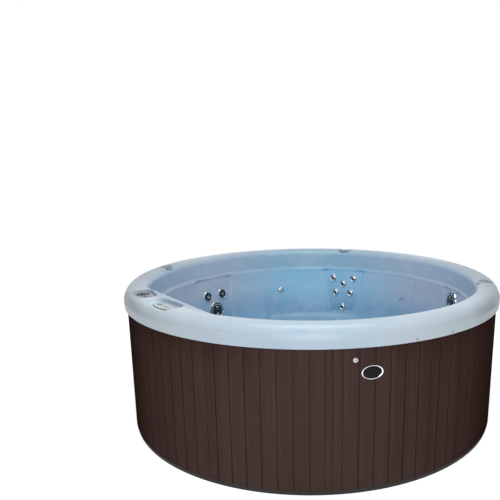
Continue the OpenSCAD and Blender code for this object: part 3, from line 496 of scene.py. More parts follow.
def massField(x, y, z):
    # the platform and filter ledge across the front, and the two foot domes
    s = shell
    draft = math.radians(s["frontDraft"])
    slope, drop = math.tan(draft), math.cos(draft)
    front = (y - s["ledgeFront"] - (s["ledge"] - z) * slope) * drop
    cornerY = s["ledgeFront"] + (s["ledge"] - s["platform"]) * slope
    turn = math.radians(s["platformTurn"])
    sideways = (x - s["platformCorner"]) * math.sin(turn) + (y - cornerY) * math.cos(turn)
    right = (sideways - (s["platform"] - z) * slope) * drop
    platform = roundMax(front, right, soften["platformCorner"])
    platform = roundMax(platform, z - s["platform"], soften["platformEdge"])
    sideways = (x - s["ledgeX"]) * s["ledgeAcross"] - (y - s["ledgeY"]) * s["ledgeAlong"]
    ledgeSide = (sideways - (s["ledge"] - z) * slope) * drop
    ledge = roundMax(front, ledgeSide, soften["ledgeCorner"])
    ledge = roundMax(ledge, z - s["ledge"], soften["ledgeEdge"])
    masses = roundMin(platform, ledge, soften["ledgeFoot"])
    tilt = math.radians(s["domeDraft"])
    away = np.hypot(np.abs(x) - s["domeX"], y - s["domeY"])
    dome = (away - s["domeRadius"] - (s["dome"] - z) * math.tan(tilt)) * math.cos(tilt)
    dome = roundMax(dome, z - s["dome"], soften["domeEdge"])
    return masses, dome


def deckField(x, y, z):
    # the straight-fronted block that carries the controls, from the filter ledge up to the crest
    s = shell
    a, draft = math.radians(s["deckAngle"]), math.radians(s["deckDraft"])
    out = x * math.cos(a) + y * math.sin(a)
    face = (s["deckFace"] - (s["height"] - z) * math.tan(draft) - out) * math.cos(draft)
    return roundMax(face, z - s["height"], soften["deckEdge"])


def capsule(x, y, angle, spread, radius):
    # distance in plan from a slot across the rim at that angle
    a = math.radians(angle)
    out = x * math.cos(a) + y * math.sin(a) - shell["knobRing"]
    across = np.abs(y * math.cos(a) - x * math.sin(a))
    return np.hypot(out, np.maximum(across - spread / 2, 0)) - radius


def rimField(x, y, z, r):
    # the rolled rim with its turned-down lip
    s = shell
    lean = math.radians(s["rimLean"])
    inner = (s["bowl"] + s["creaseLedge"] + (z - s["crease"]) * math.tan(lean) - r) * math.cos(lean)
    top = roundMax(z - s["height"], inner, s["innerRoll"])
    rim = roundMax(top, r - (s["radius"] - s["lipStep"]), s["outerRoll"])
    lip = roundMax(r - s["radius"], z - s["lipTop"], soften["lipEdge"])
    lip = np.maximum(lip, s["lipInner"] - r)
    rim = roundMin(rim, lip, soften["lipFoot"])
    rim = roundMin(rim, np.maximum(deckField(x, y, z), r - s["deckBack"]), soften["deckRim"])
    return np.maximum(np.maximum(rim, z - s["height"]), s["crease"] - 10.0 - z)


def recessField(x, y, z):
    below = shell["recess"] - z
    best = None
    for angle, spread, radius in recesses:
        slot = roundMax(capsule(x, y, angle, spread, radius), below, soften["recessFloor"])
        best = slot if best is None else np.minimum(best, slot)
    return best


def shellField(x, y, z):
    r = np.hypot(x, y)
    hollow, wallX, wallZ = seatingField(x, y, z, r)
    hollow = roundMin(hollow, podField(x, y, z, wallX, wallZ), soften["podEdge"])
    masses, dome = massField(x, y, z)
    hollow = roundMax(hollow, -masses, soften["massFoot"])
    hollow = roundMax(hollow, -dome, soften["domeEdge"])
    hollow = roundMax(hollow, -deckField(x, y, z), soften["deckFoot"])
    basin = roundMax(-hollow, z - shell["crease"], soften["crease"])
    solid = roundMin(basin, rimField(x, y, z, r), soften["rimFoot"])
    return roundMax(solid, -recessField(x, y, z), soften["recess"])


def sampleField(xs, ys, zs):
    # the field on the grid, worked out finely only near the surface
    block = 8
    values = np.empty((len(xs), len(ys), len(zs)), np.float32)
    for i in range(0, len(xs), block):
        for j in range(0, len(ys), block):
            for k in range(0, len(zs), block):
                part = (slice(i, i + block), slice(j, j + block), slice(k, k + block))
                gx, gy, gz = xs[part[0]], ys[part[1]], zs[part[2]]
                mid = [np.array([(g[0] + g[-1]) / 2]) for g in (gx, gy, gz)]
                reach = math.hypot(gx[-1] - gx[0], gy[-1] - gy[0], gz[-1] - gz[0]) / 2 + 12
                centre = shellField(*mid)[0]
                if abs(centre) > reach * 1.25:
                    values[part] = centre
                else:
                    values[part] = shellField(gx[:, None, None], gy[None, :, None], gz[None, None, :])
    return values


def surfaceNet(xs, ys, zs, values):
    # one vertex in each cell that the surface crosses, one quad across each grid edge that it crosses
    inside = values < 0
    corners = [(i, j, k) for i in (0, 1) for j in (0, 1) for k in (0, 1)]
    shape = tuple(n - 1 for n in values.shape)
    count = np.zeros(shape, np.int8)
    for i, j, k in corners:
        count += inside[i:shape[0] + i, j:shape[1] + j, k:shape[2] + k]
    cells = np.argwhere((count > 0) & (count < 8))
    number = np.full(shape, -1, np.int64)
    number[tuple(cells.T)] = np.arange(len(cells))
    total = np.zeros((len(cells), 3))
    hits = np.zeros(len(cells))
    axes = (xs, ys, zs)
    for axis in range(3):
        others = [a for a in range(3) if a != axis]
        for m in (0, 1):
            for n in (0, 1):
                low = cells.copy()
                low[:, others[0]] += m
                low[:, others[1]] += n
                high = low.copy()
                high[:, axis] += 1
                a = values[tuple(low.T)].astype(float)
                b = values[tuple(high.T)].astype(float)
                crossed = (a < 0) != (b < 0)
                t = np.where(crossed, a / np.where(crossed, a - b, 1), 0)
                point = np.stack([axes[d][low[:, d]] for d in range(3)], 1)
                point[:, axis] += t * (axes[axis][high[:, axis]] - axes[axis][low[:, axis]])
                total[crossed] += point[crossed]
                hits[crossed] += 1
    points = total / hits[:, None]
    quads = []
    for axis in range(3):
        others = [(axis + 1) % 3, (axis + 2) % 3]
        low = [slice(None)] * 3
        high = [slice(None)] * 3
        low[axis], high[axis] = slice(0, -1), slice(1, None)
        first, second = inside[tuple(low)], inside[tuple(high)]
        edges = np.argwhere(first != second)
        ok = np.all([(edges[:, d] > 0) & (edges[:, d] < shape[d]) for d in others], axis=0)
        edges = edges[ok]
        ring = []
        for m, n in ((0, 0), (-1, 0), (-1, -1), (0, -1)):
            cell = edges.copy()
            cell[:, others[0]] += m
            cell[:, others[1]] += n
            ring.append(number[tuple(cell.T)])
        faces = np.stack(ring, 1)
        flip = ~first[tuple(edges.T)]
        faces[flip] = faces[flip][:, ::-1]
        quads.append(faces)
    return points, np.concatenate(quads)


def settlePoints(points, quads, rounds):
    # even out the mesh, then pull each vertex back onto the surface
    pairs = np.concatenate([quads[:, [i, (i + 1) % 4]] for i in range(4)])
    degree = np.bincount(pairs.ravel(), minlength=len(points))[:, None]
    step = 0.4
    for turn in range(rounds):
        spread = np.zeros_like(points)
        for d in range(3):
            spread[:, d] = np.bincount(pairs[:, 0], points[pairs[:, 1], d], len(points))
            spread[:, d] += np.bincount(pairs[:, 1], points[pairs[:, 0], d], len(points))
        points = points * 0.4 + spread / degree * 0.6
        for pull in range(2):
            x, y, z = points.T
            value = shellField(x, y, z)
            slope = np.stack([
                shellField(x + step, y, z) - shellField(x - step, y, z),
                shellField(x, y + step, z) - shellField(x, y - step, z),
                shellField(x, y, z + step) - shellField(x, y, z - step)], 1) / (2 * step)
            size = np.maximum((slope ** 2).sum(1), 0.25)
            points = points - np.clip(value / size, -6, 6)[:, None] * slope
    return points


def dropUnused(points, quads):
    used = np.unique(quads)
    renumber = np.full(len(points), -1)
    renumber[used] = np.arange(len(used))
    return points[used], renumber[quads]


def makeShell():
    s = shell
    pitch = s["grid"]
    fineZ = pitch * 0.6
    reach, crest = s["radius"] + 14.0, s["height"] + 12.0
    xs = np.arange(-reach, reach + 0.1, pitch)
    zs = np.concatenate([np.arange(s["floor"] - 2.5 * pitch, s["fineFrom"], pitch),
                         np.arange(s["fineFrom"], crest, fineZ)])
    values = sampleField(xs, xs, zs)
    points, quads = surfaceNet(xs, xs, zs, values)
    r = np.hypot(points[:, 0], points[:, 1])
    tooLow = (r > s["underRim"]) & (points[:, 2] < s["lipEdge"] - fineZ * 0.5)
    quads = quads[~tooLow[quads].any(1)]
    points, quads = dropUnused(points, quads)
    points = settlePoints(points, quads, 3)
    # the filter's mouth is open: faces inside its circle go, and the edge left is drawn onto it
    mouth = np.array([s["mouthX"], s["mouthY"]])
    away = np.hypot(*(points[:, :2] - mouth).T)
    inMouth = (away < s["mouthRadius"]) & (np.abs(points[:, 2] - s["ledge"]) < s["mouthBand"])
    points, quads = dropUnused(points, quads[~inMouth[quads].any(1)])
    pairs = np.sort(np.concatenate([quads[:, [i, (i + 1) % 4]] for i in range(4)]), axis=1)
    edges, times = np.unique(pairs, axis=0, return_counts=True)
    openEdge = np.unique(edges[times == 1])
    atLip = np.hypot(points[openEdge, 0], points[openEdge, 1]) > s["underRim"]
    points[openEdge[atLip], 2] = s["lipEdge"]
    edge = points[openEdge[~atLip], :2] - mouth
    points[openEdge[~atLip], :2] = mouth + edge * (s["mouthRadius"] / np.hypot(*edge.T))[:, None]
    piece = makePiece("tubShell", points * mm, quads, finishes["acrylic"], "tub", "acrylic", sharpOver=60)
    wall = piece.modifiers.new("sheet", "SOLIDIFY")
    wall.thickness = s["thickness"] * mm
    wall.offset = -1
    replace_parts(piece, "shell")
    print("shell made:", len(points), "points")


makeShell()

# cabinet: slatted panels, door, joint strip, badge and lock
cabinet = {
    "outer": 0.976, "thick": 0.012, "low": 0.020, "high": 0.645, "grooveWidth": 0.0046, "grooveDepth": 0.0044,
    "pitch": 3.95, "firstSlat": 3.7, "stripFrom": 275.6, "stripSpan": 1.6, "doorSpan": 26.0, "panels": 11,
    "joint": 1.2, "doorGap": 1.5, "edge": 0.0012, "ease": 0.001, "doorLift": 0.0004, "stripProud": 0.0015,
}


def slatSection(start, span, c):
    # plan of one panel as (radius, angle): rounded slats with grooves between
    outer, groove = c["outer"], math.degrees(c["grooveWidth"] / c["outer"])
    cuts = []
    a = c["firstSlat"]
    while a < span - 1:
        cuts.append(start + span - a)
        a += c["pitch"]
    bounds = [start] + sorted(cuts) + [start + span]
    edge, soft = c["edge"], math.degrees(c["edge"] / outer)
    section = []
    for n, (first, last) in enumerate(zip(bounds, bounds[1:])):
        low = first + (groove / 2 if n else 0)
        high = last - (groove / 2 if n < len(bounds) - 2 else 0)
        if n:
            section.append((outer - c["grooveDepth"], low))
        section += [(outer - edge, low), (outer - edge * 0.3, low + soft * 0.3), (outer, low + soft)]
        section += [(outer, low + soft + (high - low - 2 * soft) * k / 3) for k in (1, 2, 3)]
        section += [(outer - edge * 0.3, high - soft * 0.3), (outer - edge, high)]
        if n < len(bounds) - 2:
            section.append((outer - c["grooveDepth"], high))
    return section


def panelSolid(start, span, c):
    # one panel, its slats running up it and its ends slightly eased
    front = slatSection(start, span, c)
    inner = c["outer"] - c["thick"]
    low, high, ease = c["low"], c["high"], c["ease"]
    levels = [low, low + ease] + [low + (high - low) * k / 6 for k in range(1, 6)] + [high - ease, high]
    count = len(front)
    vertices = []
    for n, z in enumerate(levels):
        eased = ease if n in (0, len(levels) - 1) else 0
        vertices += [(*polarAt(r - eased, a), z) for r, a in front]
        vertices += [(*polarAt(inner, a), z) for r, a in front]
    ring, last = 2 * count, count - 1
    faces = []
    for base in range(0, (len(levels) - 1) * ring, ring):
        above, back = base + ring, base + count
        for k in range(last):
            faces.append((base + k, base + k + 1, above + k + 1, above + k))
            faces.append((back + k + 1, back + k, back + ring + k, back + ring + k + 1))
        faces.append((back, base, above, back + ring))
        faces.append((base + last, back + last, back + ring + last, above + last))
    top = (len(levels) - 1) * ring
    for k in range(last):
        faces.append((k + 1, k, count + k, count + k + 1))
        faces.append((top + k, top + k + 1, top + count + k + 1, top + count + k))
    return vertices, faces


def makeCabinet():
    c = cabinet
    jointAngle = math.degrees(c["joint"] * mm / c["outer"])
    gapAngle = math.degrees(c["doorGap"] * mm / c["outer"])
    span = (360 - c["doorSpan"] - c["stripSpan"]) / c["panels"]
    half = c["panels"] // 2

    def panels(first, last):
        parts = []
        for k in range(first, last + 1):
            parts.append(panelSolid(c["stripFrom"] - (k + 1) * span + jointAngle, span - jointAngle, c))
        return joinParts(parts)
    for name, part, node in (("cabinetLeft", panels(0, half), "skirt_left"),
                             ("cabinetRight", panels(half + 1, c["panels"] - 1), "skirt_right")):
        piece = makePiece(name, *part, finishes["slat"], "tub", "cabinet", sharpOver=50)
        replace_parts(piece, node)
    doorFrom = c["stripFrom"] + c["stripSpan"]
    lifted = dict(c, low=c["low"] + c["doorLift"])
    part = panelSolid(doorFrom + gapAngle, c["doorSpan"] - 2 * gapAngle, lifted)
    door = makePiece("accessDoor", *part, finishes["slat"], "door", "cabinet", sharpOver=50)
    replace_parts(door, "access_door")
    plain = c["stripSpan"] + 1  # the strip has no groove
    proud = dict(c, outer=c["outer"] + c["stripProud"], thick=c["thick"] + c["stripProud"], firstSlat=plain)
    part = panelSolid(c["stripFrom"], c["stripSpan"] - jointAngle / 2, proud)
    strip = makePiece("jointStrip", *part, finishes["slat"], "tub", "cabinet", sharpOver=50)
    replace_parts(strip, "seam_strip")
    print("cabinet made")


makeCabinet()

# tall and wide are half its height and width
badge = {"angle": 286.75, "z": 0.538, "tall": 0.0295, "wide": 0.0465, "rim": 0.0030}


def onCabinet(angle, z, radius=cabinet["outer"]):
    # a spot on the cabinet's face: +Z outward, +X down
    a = math.radians(angle)
    out = Vector((math.cos(a), math.sin(a), 0))
    up = Vector((0, 0, 1))
    side = up.cross(out)
    place = Vector((out.x * radius, out.y * radius, z))
    return Matrix.Translation(place) @ Matrix((-up, side, out)).transposed().to_4x4()


def bentOval(a, b, heights, radius, steps=56):
    # rings of an oval dish laid on a cylinder of that radius; heights are (share of the size, height)
    vertices = []
    for share, height in heights:
        for x, y in ovalOutline(a * share, b * share, steps):
            sag = radius - math.sqrt(radius * radius - y * y)
            vertices.append((x, y, height - sag))
    return vertices, ringWalls(len(heights), steps) + ringCaps(len(heights), steps)


def makeBadge():
    b = badge
    place = onCabinet(b["angle"], b["z"])
    inner = 1 - b["rim"] / b["tall"]
    rimRings = [(inner - 0.02, 0.0004), (0.985, 0.0004), (1.0, 0.0012), (1.0, 0.0022), (0.985, 0.0030),
                (inner + 0.03, 0.0030), (inner, 0.0022), (inner - 0.02, 0.0016)]
    rim = bentOval(b["tall"], b["wide"], rimRings, cabinet["outer"])
    dishRings = [(1.0, 0.0006), (1.0, 0.0016), (0.9, 0.0020), (0.6, 0.0024), (0.3, 0.0026)]
    dish = bentOval(b["tall"] * inner * 0.99, b["wide"] * inner * 0.99, dishRings, cabinet["outer"])
    makePiece("badgeRim", *moved(rim, place), finishes["chrome"], "door", "badge")
    plate = makePiece("badgeDish", *moved(dish, place), finishes["badgeBlack"], "door", "badge")
    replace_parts(plate, "badge_plate")


makeBadge()

lock = {"angle": 282.55, "z": 0.595, "radius": 0.008, "head": 0.011}


def makeLock():
    k = lock
    head = lathe([(0, -0.022), (k["radius"], -0.022), (k["radius"], 0.0004), (k["head"], 0.0004),
                  (k["head"], 0.0018), (k["head"] - 0.0012, 0.0038), (0.0062, 0.0044), (0.0056, 0.0036),
                  (0, 0.0036)], 40)
    keyway = extruded(boxOutline(0.0014, -0.0042, 0.0042), 0.0036, 0.0042)
    tongue = extruded(boxOutline(0.006, -0.004, 0.012), -0.0250, -0.0215, 0.0006)
    place = onCabinet(k["angle"], k["z"])
    part = moved(joinParts([head, tongue]), place)
    barrel = makePiece("lockBarrel", *part, finishes["steel"], "lock", "lock_metal")
    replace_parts(barrel, "door_lock")
    makePiece("lockKeyway", *moved(keyway, place), finishes["blackSatin"], "lock", "lock_metal")


makeLock()
lipScrew = {"angles": [297.9, 309.05], "z": 0.659, "radius": 0.005}


def makeLipScrews():
    for number, angle in enumerate(lipScrew["angles"]):
        r = lipScrew["radius"]
        head = lathe([(0, -0.004), (0.0015, -0.004), (r, -0.0004), (r, 0.0), (r * 0.7, 0.0),
                      (0.0008, -0.0002), (0.0008, -0.0012), (0, -0.0012)], 20)
        part = moved(head, onCabinet(angle, lipScrew["z"], shell["radius"] * mm))
        makePiece("lipScrew%d" % (number + 1), *part, finishes["blackSatin"], "tub", "lock_metal")


makeLipScrews()
print("badge, lock and screws made")

# jets: a collar ring on the tub, and a face that turns in it
jetSizes = {
    "small": {"outer": 0.025, "height": 0.005, "pocket": 0.74, "scallops": 12},
    "medium": {"outer": 0.035, "height": 0.0065, "pocket": 0.74, "scallops": 14},
    "large": {"outer": 0.060, "height": 0.009, "pocket": 0.84, "scallops": 20},
}
jetKinds = {
    "back": ["small"] * 6, "left_rear": ["medium", "medium", "large"], "left": ["medium", "medium"],
    "right": ["large", "large"], "right_front": ["small", "small", "small", "medium"],
}


def jetList():
    found = []
    for group, sizes in jetKinds.items():
        for number, size in enumerate(sizes):
            found.append(("%s_jet_%d" % (group, number + 1), size))
    return found + [("foot_jet_left", "medium"), ("foot_jet_right", "medium"), ("front_wall_jet", "large")]


def jetCollar(size):
    # a scalloped ring, one skin proud of the solid that it covers
    j = jetSizes[size]
    r, h = j["outer"], j["height"]
    pocket = r * j["pocket"]
    skin = 0.0003
    wide = r - pocket
    profile = [(pocket - skin, 0.0012), (pocket - skin, h * 0.8), (pocket + h * 0.12, h + skin),
               (pocket + wide * 0.38, h + 0.0011), (pocket + wide * 0.6, h + 0.0010),
               (r - h * 0.36, h + skin), (r - h * 0.16, h * 0.74), (r + skin, h * 0.36), (r + skin, -0.001),
               (pocket * 0.8, -0.001), (pocket * 0.8, 0.0012)]

    def scallop(angle, index):
        return 1 + (0.012 * math.cos(angle * j["scallops"]) if index in (3, 4) else 0)
    return lathe(profile, j["scallops"] * 8, scallop)


def faceReach(size):
    # radius and top of the turning face, which runs clear of its pocket
    j = jetSizes[size]
    return j["outer"] * j["pocket"] - 0.0009, j["height"] + 0.0012


def jetFace(size):
    r, top = faceReach(size)
    low = 0.0020
    if size == "large":
        profile = [(0, low), (r, low), (r, top - 0.003), (r - 0.0012, top - 0.0006), (r - 0.004, top),
                   (r * 0.80, top), (r * 0.76, top - 0.0025), (r * 0.62, top - 0.0030),
                   (r * 0.55, top + 0.002), (r * 0.30, top + 0.005), (r * 0.22, top + 0.0035),
                   (r * 0.14, top + 0.003), (0, top + 0.0035)]
        lobes, deep, waves = 5, 0.07, (5, 6, 7)
    else:
        profile = [(0, low), (r, low), (r, top - 0.002), (r - 0.001, top), (r * 0.90, top + 0.0006),
                   (r * 0.80, top + 0.0003), (r * 0.70, top + 0.0010), (r * 0.56, top + 0.0016),
                   (r * 0.50, top + 0.0010), (r * 0.46, top - 0.002), (0, top - 0.002)]
        lobes, deep, waves = 4, 0.10, (6, 7, 8)

    def waved(angle, index):
        return 1 + (deep * math.cos(angle * lobes) if index in waves else 0)
    return lathe(profile, 72, waved)


def jetTrims(size):
    # bright parts of a face: two eyes and a ring, a ring, or a hollow core
    r, top = faceReach(size)
    if size == "medium":
        return [lathe([(r * 0.27, top - 0.0022), (r * 0.37, top - 0.0022), (r * 0.37, top + 0.0014),
                       (r * 0.34, top + 0.0022), (r * 0.30, top + 0.0022), (r * 0.27, top + 0.0014)], 40)]
    if size == "small":
        core = r * 0.55
        return [lathe([(0, top - 0.0022), (core, top - 0.0022), (core, top + 0.0016),
                       (core * 0.9, top + 0.0024), (core * 0.7, top + 0.0018), (core * 0.55, top - 0.0008),
                       (0, top - 0.0008)], 40)]
    eye = lathe([(0, 0), (0.0085, 0), (0.0085, 0.0030), (0.0070, 0.0044), (0.0052, 0.0040),
                 (0.0046, 0.0010), (0, 0.0010)], 28)
    trims = []
    for turn in (0, 180):
        spot = Matrix.Rotation(math.radians(turn), 4, "Z") @ Matrix.Translation((r * 0.44, 0, top + 0.0012))
        trims.append(moved(eye, spot))
    trims.append(lathe([(r * 0.79, top - 0.0008), (r * 0.90, top - 0.0008), (r * 0.90, top + 0.0006),
                        (r * 0.87, top + 0.0012), (r * 0.82, top + 0.0012), (r * 0.79, top + 0.0004)], 72))
    return trims


def makeJets():
    collars = []
    for name, size in jetList():
        place = jointFrame(name + "_turn")
        collars.append(moved(jetCollar(size), place))
        look = [(finishes["blackGloss"], "jet_face"), (finishes["chrome"], "chromed")]
        if size == "small":
            look.reverse()  # a bright face with a dark core
        finish, slotName = look[0]
        part = moved(jetFace(size), place)
        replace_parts(makePiece("face." + name, *part, finish, name, slotName, sharpOver=35), name)
        finish, slotName = look[1]
        makePiece("trim." + name, *moved(joinParts(jetTrims(size)), place), finish, name, slotName)
    makePiece("jetCollars", *joinParts(collars), finishes["chrome"], "tub", "chromed", sharpOver=45)
    print("jets made:", len(collars))


makeJets()

# rim controls
airKnob = {"radius": 0.029, "grip": 0.012, "top": 0.0128, "base": 0.0034, "ribs": 24, "dot": 0.0014,
           "dotAt": 0.62}
diverterKnob = {"radius": 0.030, "grip": 0.016, "top": 0.0128, "base": 0.0034, "ribs": 20, "dot": 0.0016,
                "dotAt": 0.6}


def knobParts(k):
    r, low, top, ribs = k["radius"], k["base"], k["top"], k["ribs"]
    disc = lathe([(0, low), (r - 0.001, low), (r, low + 0.001), (r, low + 0.0035), (r - 0.0008, low + 0.005),
                  (r - 0.003, low + 0.0058), (r * 0.7, low + 0.0052), (0, low + 0.005)], ribs * 6,
                 lambda a, i: 1 + (0.012 * math.cos(a * ribs) if i in (2, 3) else 0))
    half = k["grip"] / 2
    end = r - half - 0.003
    outline = arcPoints((0, end), half, 0, 180, 8) + arcPoints((0, -end), half, 180, 360, 8)
    bar = extruded(outline, low + 0.004, top, 0.0016)
    return joinParts([disc, bar])


def makeKnob(node, k, finish, dotFinish, slotName):
    place = jointFrame(node + "_turn")
    part = moved(knobParts(k), place)
    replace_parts(makePiece("knob." + node, *part, finishes[finish], node, slotName), node)
    dot = lathe([(0, 0), (k["dot"], 0), (k["dot"], 0.0003), (0, 0.0005)], 16)
    spot = place @ Matrix.Translation((0, k["radius"] * k["dotAt"], k["top"] - 0.0001))
    makePiece("mark." + node, *moved(dot, spot), finishes[dotFinish], node, slotName)


for side in ("back", "left", "right"):
    makeKnob("air_knob_" + side, airKnob, "knob", "blackSatin", "knob")
for end in ("rear", "front"):
    makeKnob("diverter_knob_" + end, diverterKnob, "diverter", "valve", "diverter_knob")

# lens is its middle along the panel, its length and its width
panel = {"angle": 225.7, "length": 0.160, "width": 0.056, "lens": (-0.038, 0.034, 0.018),
         "buttons": [-0.004, 0.022, 0.046], "buttonRadius": 0.007}


def onRim(angle, ring, z):
    # a spot round the rim: +X outward
    a = math.radians(angle)
    return Matrix.Translation((ring * math.cos(a), ring * math.sin(a), z)) @ Matrix.Rotation(a, 4, "Z")


def makePanel():
    p = panel
    place = onRim(p["angle"], shell["knobRing"] * mm, shell["recess"] * mm)
    half, long = p["width"] / 2, p["length"] / 2
    steps = 72

    def ovals(rings):
        return [(x, y, z) for share, z in rings for x, y in ovalOutline(half * share, long * share, steps)]
    rings = [(1.0, 0.0), (1.0, 0.0026), (0.975, 0.0042), (0.93, 0.0050), (0.86, 0.0050), (0.845, 0.0044),
             (0.83, 0.0050), (0.6, 0.0050), (0.3, 0.0050)]
    plate = (ovals(rings), ringWalls(len(rings), steps) + ringCaps(len(rings), steps))
    # painted shadow: a thin black ring round the panel's foot stands in for the shadow under its edge
    rings = [(1.05, 0.0), (1.05, 0.0022), (1.02, 0.0028), (0.99, 0.0028)]
    shadowRing = (ovals(rings), ringWalls(len(rings), steps))
    makePiece("panelShadowRing", *moved(shadowRing, place), finishes["blackSatin"], "tub", "lens")
    box = extruded(boxOutline(0.016, -0.055, 0.055), -0.047, -0.0005, 0.002)
    part = moved(joinParts([plate, box]), place)
    bezel = makePiece("panelBezel", *part, finishes["panel"], "tub", "panel", sharpOver=50)
    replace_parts(bezel, "control_panel")
    y, length, width = p["lens"]

    def squared(value):
        # rounder corners than a box, squarer than an oval
        return math.copysign(abs(value) ** 0.35, value)
    turns = [2 * math.pi * k / 40 for k in range(40)]
    glass = [(width / 2 * squared(math.cos(t)), y + length / 2 * squared(math.sin(t))) for t in turns]
    part = moved(extruded(glass, 0.003, 0.0056, 0.0005), place)
    lens = makePiece("panelLens", *part, finishes["blackGloss"], "tub", "lens")
    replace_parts(lens, "display_lens")
    for number, y in enumerate(p["buttons"]):
        node = "panel_button_%d" % (number + 1)
        r = p["buttonRadius"]
        cap = lathe([(0, 0.0025), (r, 0.0025), (r, 0.0058), (r - 0.0006, 0.0066), (r * 0.7, 0.0069),
                     (0, 0.0064)], 32)
        part = moved(cap, place @ Matrix.Translation((0, y, 0)))
        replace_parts(makePiece("button%d" % (number + 1), *part, finishes["button"], node, "button"), node)
    print("rim controls made")


makePanel()

# filter, suction cover and wall fittings
filterSet = {"mouth": 0.080, "outer": 0.112, "cap": 0.072, "capZ": 0.475, "teeth": 12, "capHigh": 0.008}


def makeFilter():
    f = filterSet
    x, y, ledge = [shell[key] * mm for key in ("mouthX", "mouthY", "ledge")]
    at = Matrix.Translation((x, y, ledge))
    m, o = f["mouth"], f["outer"]
    ring = lathe([(m, -0.018), (m + 0.006, -0.018), (m + 0.006, 0.0), (o, 0.0), (o, 0.002),
                  (o - 0.002, 0.0055), (o - 0.006, 0.007), (o - 0.010, 0.007), (o - 0.0125, 0.0042),
                  (o - 0.0165, 0.0042), (o - 0.018, 0.0066), (m + 0.006, 0.007), (m + 0.002, 0.0062),
                  (m, 0.003)], 96)
    screw = lathe([(0, 0), (0.0021, 0), (0.0021, 0.0008), (0.0014, 0.0014), (0, 0.0015)], 16)
    screws = []
    for turn in (45, 135, 225, 315):
        spot = Matrix.Rotation(math.radians(turn), 4, "Z") @ Matrix.Translation((o - 0.0145, 0, 0.0040))
        screws.append(moved(screw, spot))
    part = moved(ring, at)
    collar = makePiece("filterCollar", *part, finishes["filterRing"], "tub", "collar", sharpOver=45)
    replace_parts(collar, "filter_collar")
    makePiece("filterScrews", *moved(joinParts(screws), at), finishes["steel"], "tub", "collar")
    part = moved(toothedCap(f), Matrix.Translation((x, y, f["capZ"])))
    cap = makePiece("filterCapTop", *part, finishes["cap"], "filter_insert", "cap", sharpOver=30)
    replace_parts(cap, "filter_cap")


def toothedCap(f):
    # a notched disc with a hub and a grip bar
    radius, teeth, high = f["cap"], f["teeth"], f["capHigh"]
    outline = []
    for k in range(teeth):
        middle = 360 * k / teeth
        for share, offset in ((1.0, -10.2), (1.0, -4), (1.0, 4), (1.0, 10.2), (0.84, 10.8), (0.84, 19.2)):
            outline.append(polarAt(radius * share, middle + offset))
    plate = extruded(outline, 0.0, high, 0.0012)
    hub = lathe([(0, high - 0.001), (0.020, high - 0.001), (0.019, high + 0.003), (0.016, high + 0.006),
                 (0.0155, high + 0.0125), (0.0135, high + 0.014), (0, high + 0.0145)], 40)
    bar = arcPoints((0.029, 0), 0.0048, -90, 90, 6) + arcPoints((-0.029, 0), 0.0048, 90, 270, 6)
    return joinParts([plate, hub, extruded(bar, high - 0.001, high + 0.0135, 0.0014)])


makeFilter()


def onFront(x, z):
    # a spot on the drafted face below the ledge: +Z out of it
    draft = shell["frontDraft"]
    y = shell["ledgeFront"] * mm + (shell["ledge"] * mm - z) * math.tan(math.radians(draft))
    return Matrix.Translation((x, y, z)) @ Matrix.Rotation(math.radians(draft - 90), 4, "X")


suction = {"x": 0.005, "z": 0.150, "radius": 0.062, "ribs": 24}


def makeSuctionCover():
    r = suction["radius"]
    place = onFront(suction["x"], suction["z"])
    dome = lathe([(0, 0.0), (r, 0.0), (r, 0.003), (r - 0.002, 0.0075), (r - 0.006, 0.0125),
                  (r * 0.82, 0.0165), (r * 0.72, 0.0185), (r * 0.68, 0.0178), (r * 0.34, 0.0202),
                  (r * 0.30, 0.0212), (r * 0.12, 0.0218), (0, 0.0219)], 96)
    near, far, count = r * 0.30, r * 0.72, suction["ribs"]
    outline = [(near, -0.0013), (far, -0.0018), (far, 0.0018), (near, 0.0013)]
    rib = extruded(outline, 0.0165, 0.0212, 0.0006)
    ribs = [moved(rib, Matrix.Rotation(math.radians(360 / count * k), 4, "Z")) for k in range(count)]
    tail = lathe([(0, -0.034), (r * 0.7, -0.034), (r * 0.7, 0.001), (0, 0.001)], 60)
    part = moved(joinParts([dome, *ribs, tail]), place)
    cover = makePiece("suctionCover", *part, finishes["blackSatin"], "tub", "dark_trim")
    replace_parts(cover, "suction_cover")


makeSuctionCover()
fittings = {"angles": [107.8, 48.5], "z": 0.469, "radii": [0.018, 0.021], "finish": ["chrome", "valve"],
            "wallArc": 1.1, "arcRadius": -0.2449, "arcZ": 0.6639, "proud": 0.001}


def makeFittings():
    # both stand on the wall, an arc whose middle lies at arcRadius and arcZ
    f = fittings
    drop = f["z"] - f["arcZ"]
    slope = -math.asin(drop / f["wallArc"])
    radius = f["arcRadius"] + math.sqrt(f["wallArc"] ** 2 - drop ** 2) + f["proud"]
    for number, angle in enumerate(f["angles"]):
        r = f["radii"][number]
        ring = lathe([(0, -0.010), (r * 0.58, -0.010), (r * 0.58, 0.0), (r, 0.0), (r, 0.002),
                      (r - 0.001, 0.0038), (r - 0.003, 0.005), (r * 0.62, 0.0052), (r * 0.54, 0.004),
                      (r * 0.50, 0.0024), (r * 0.30, 0.0022), (r * 0.24, 0.0046), (0, 0.0052)], 48)
        place = onRim(angle, radius, f["z"]) @ Matrix.Rotation(slope - math.pi / 2, 4, "Y")
        finish = finishes[f["finish"][number]]
        piece = makePiece("wallFitting%d" % (number + 1), *moved(ring, place), finish, "tub", "chromed")
        if number == 0:
            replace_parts(piece, "wall_fittings")


makeFittings()
print("fittings made")

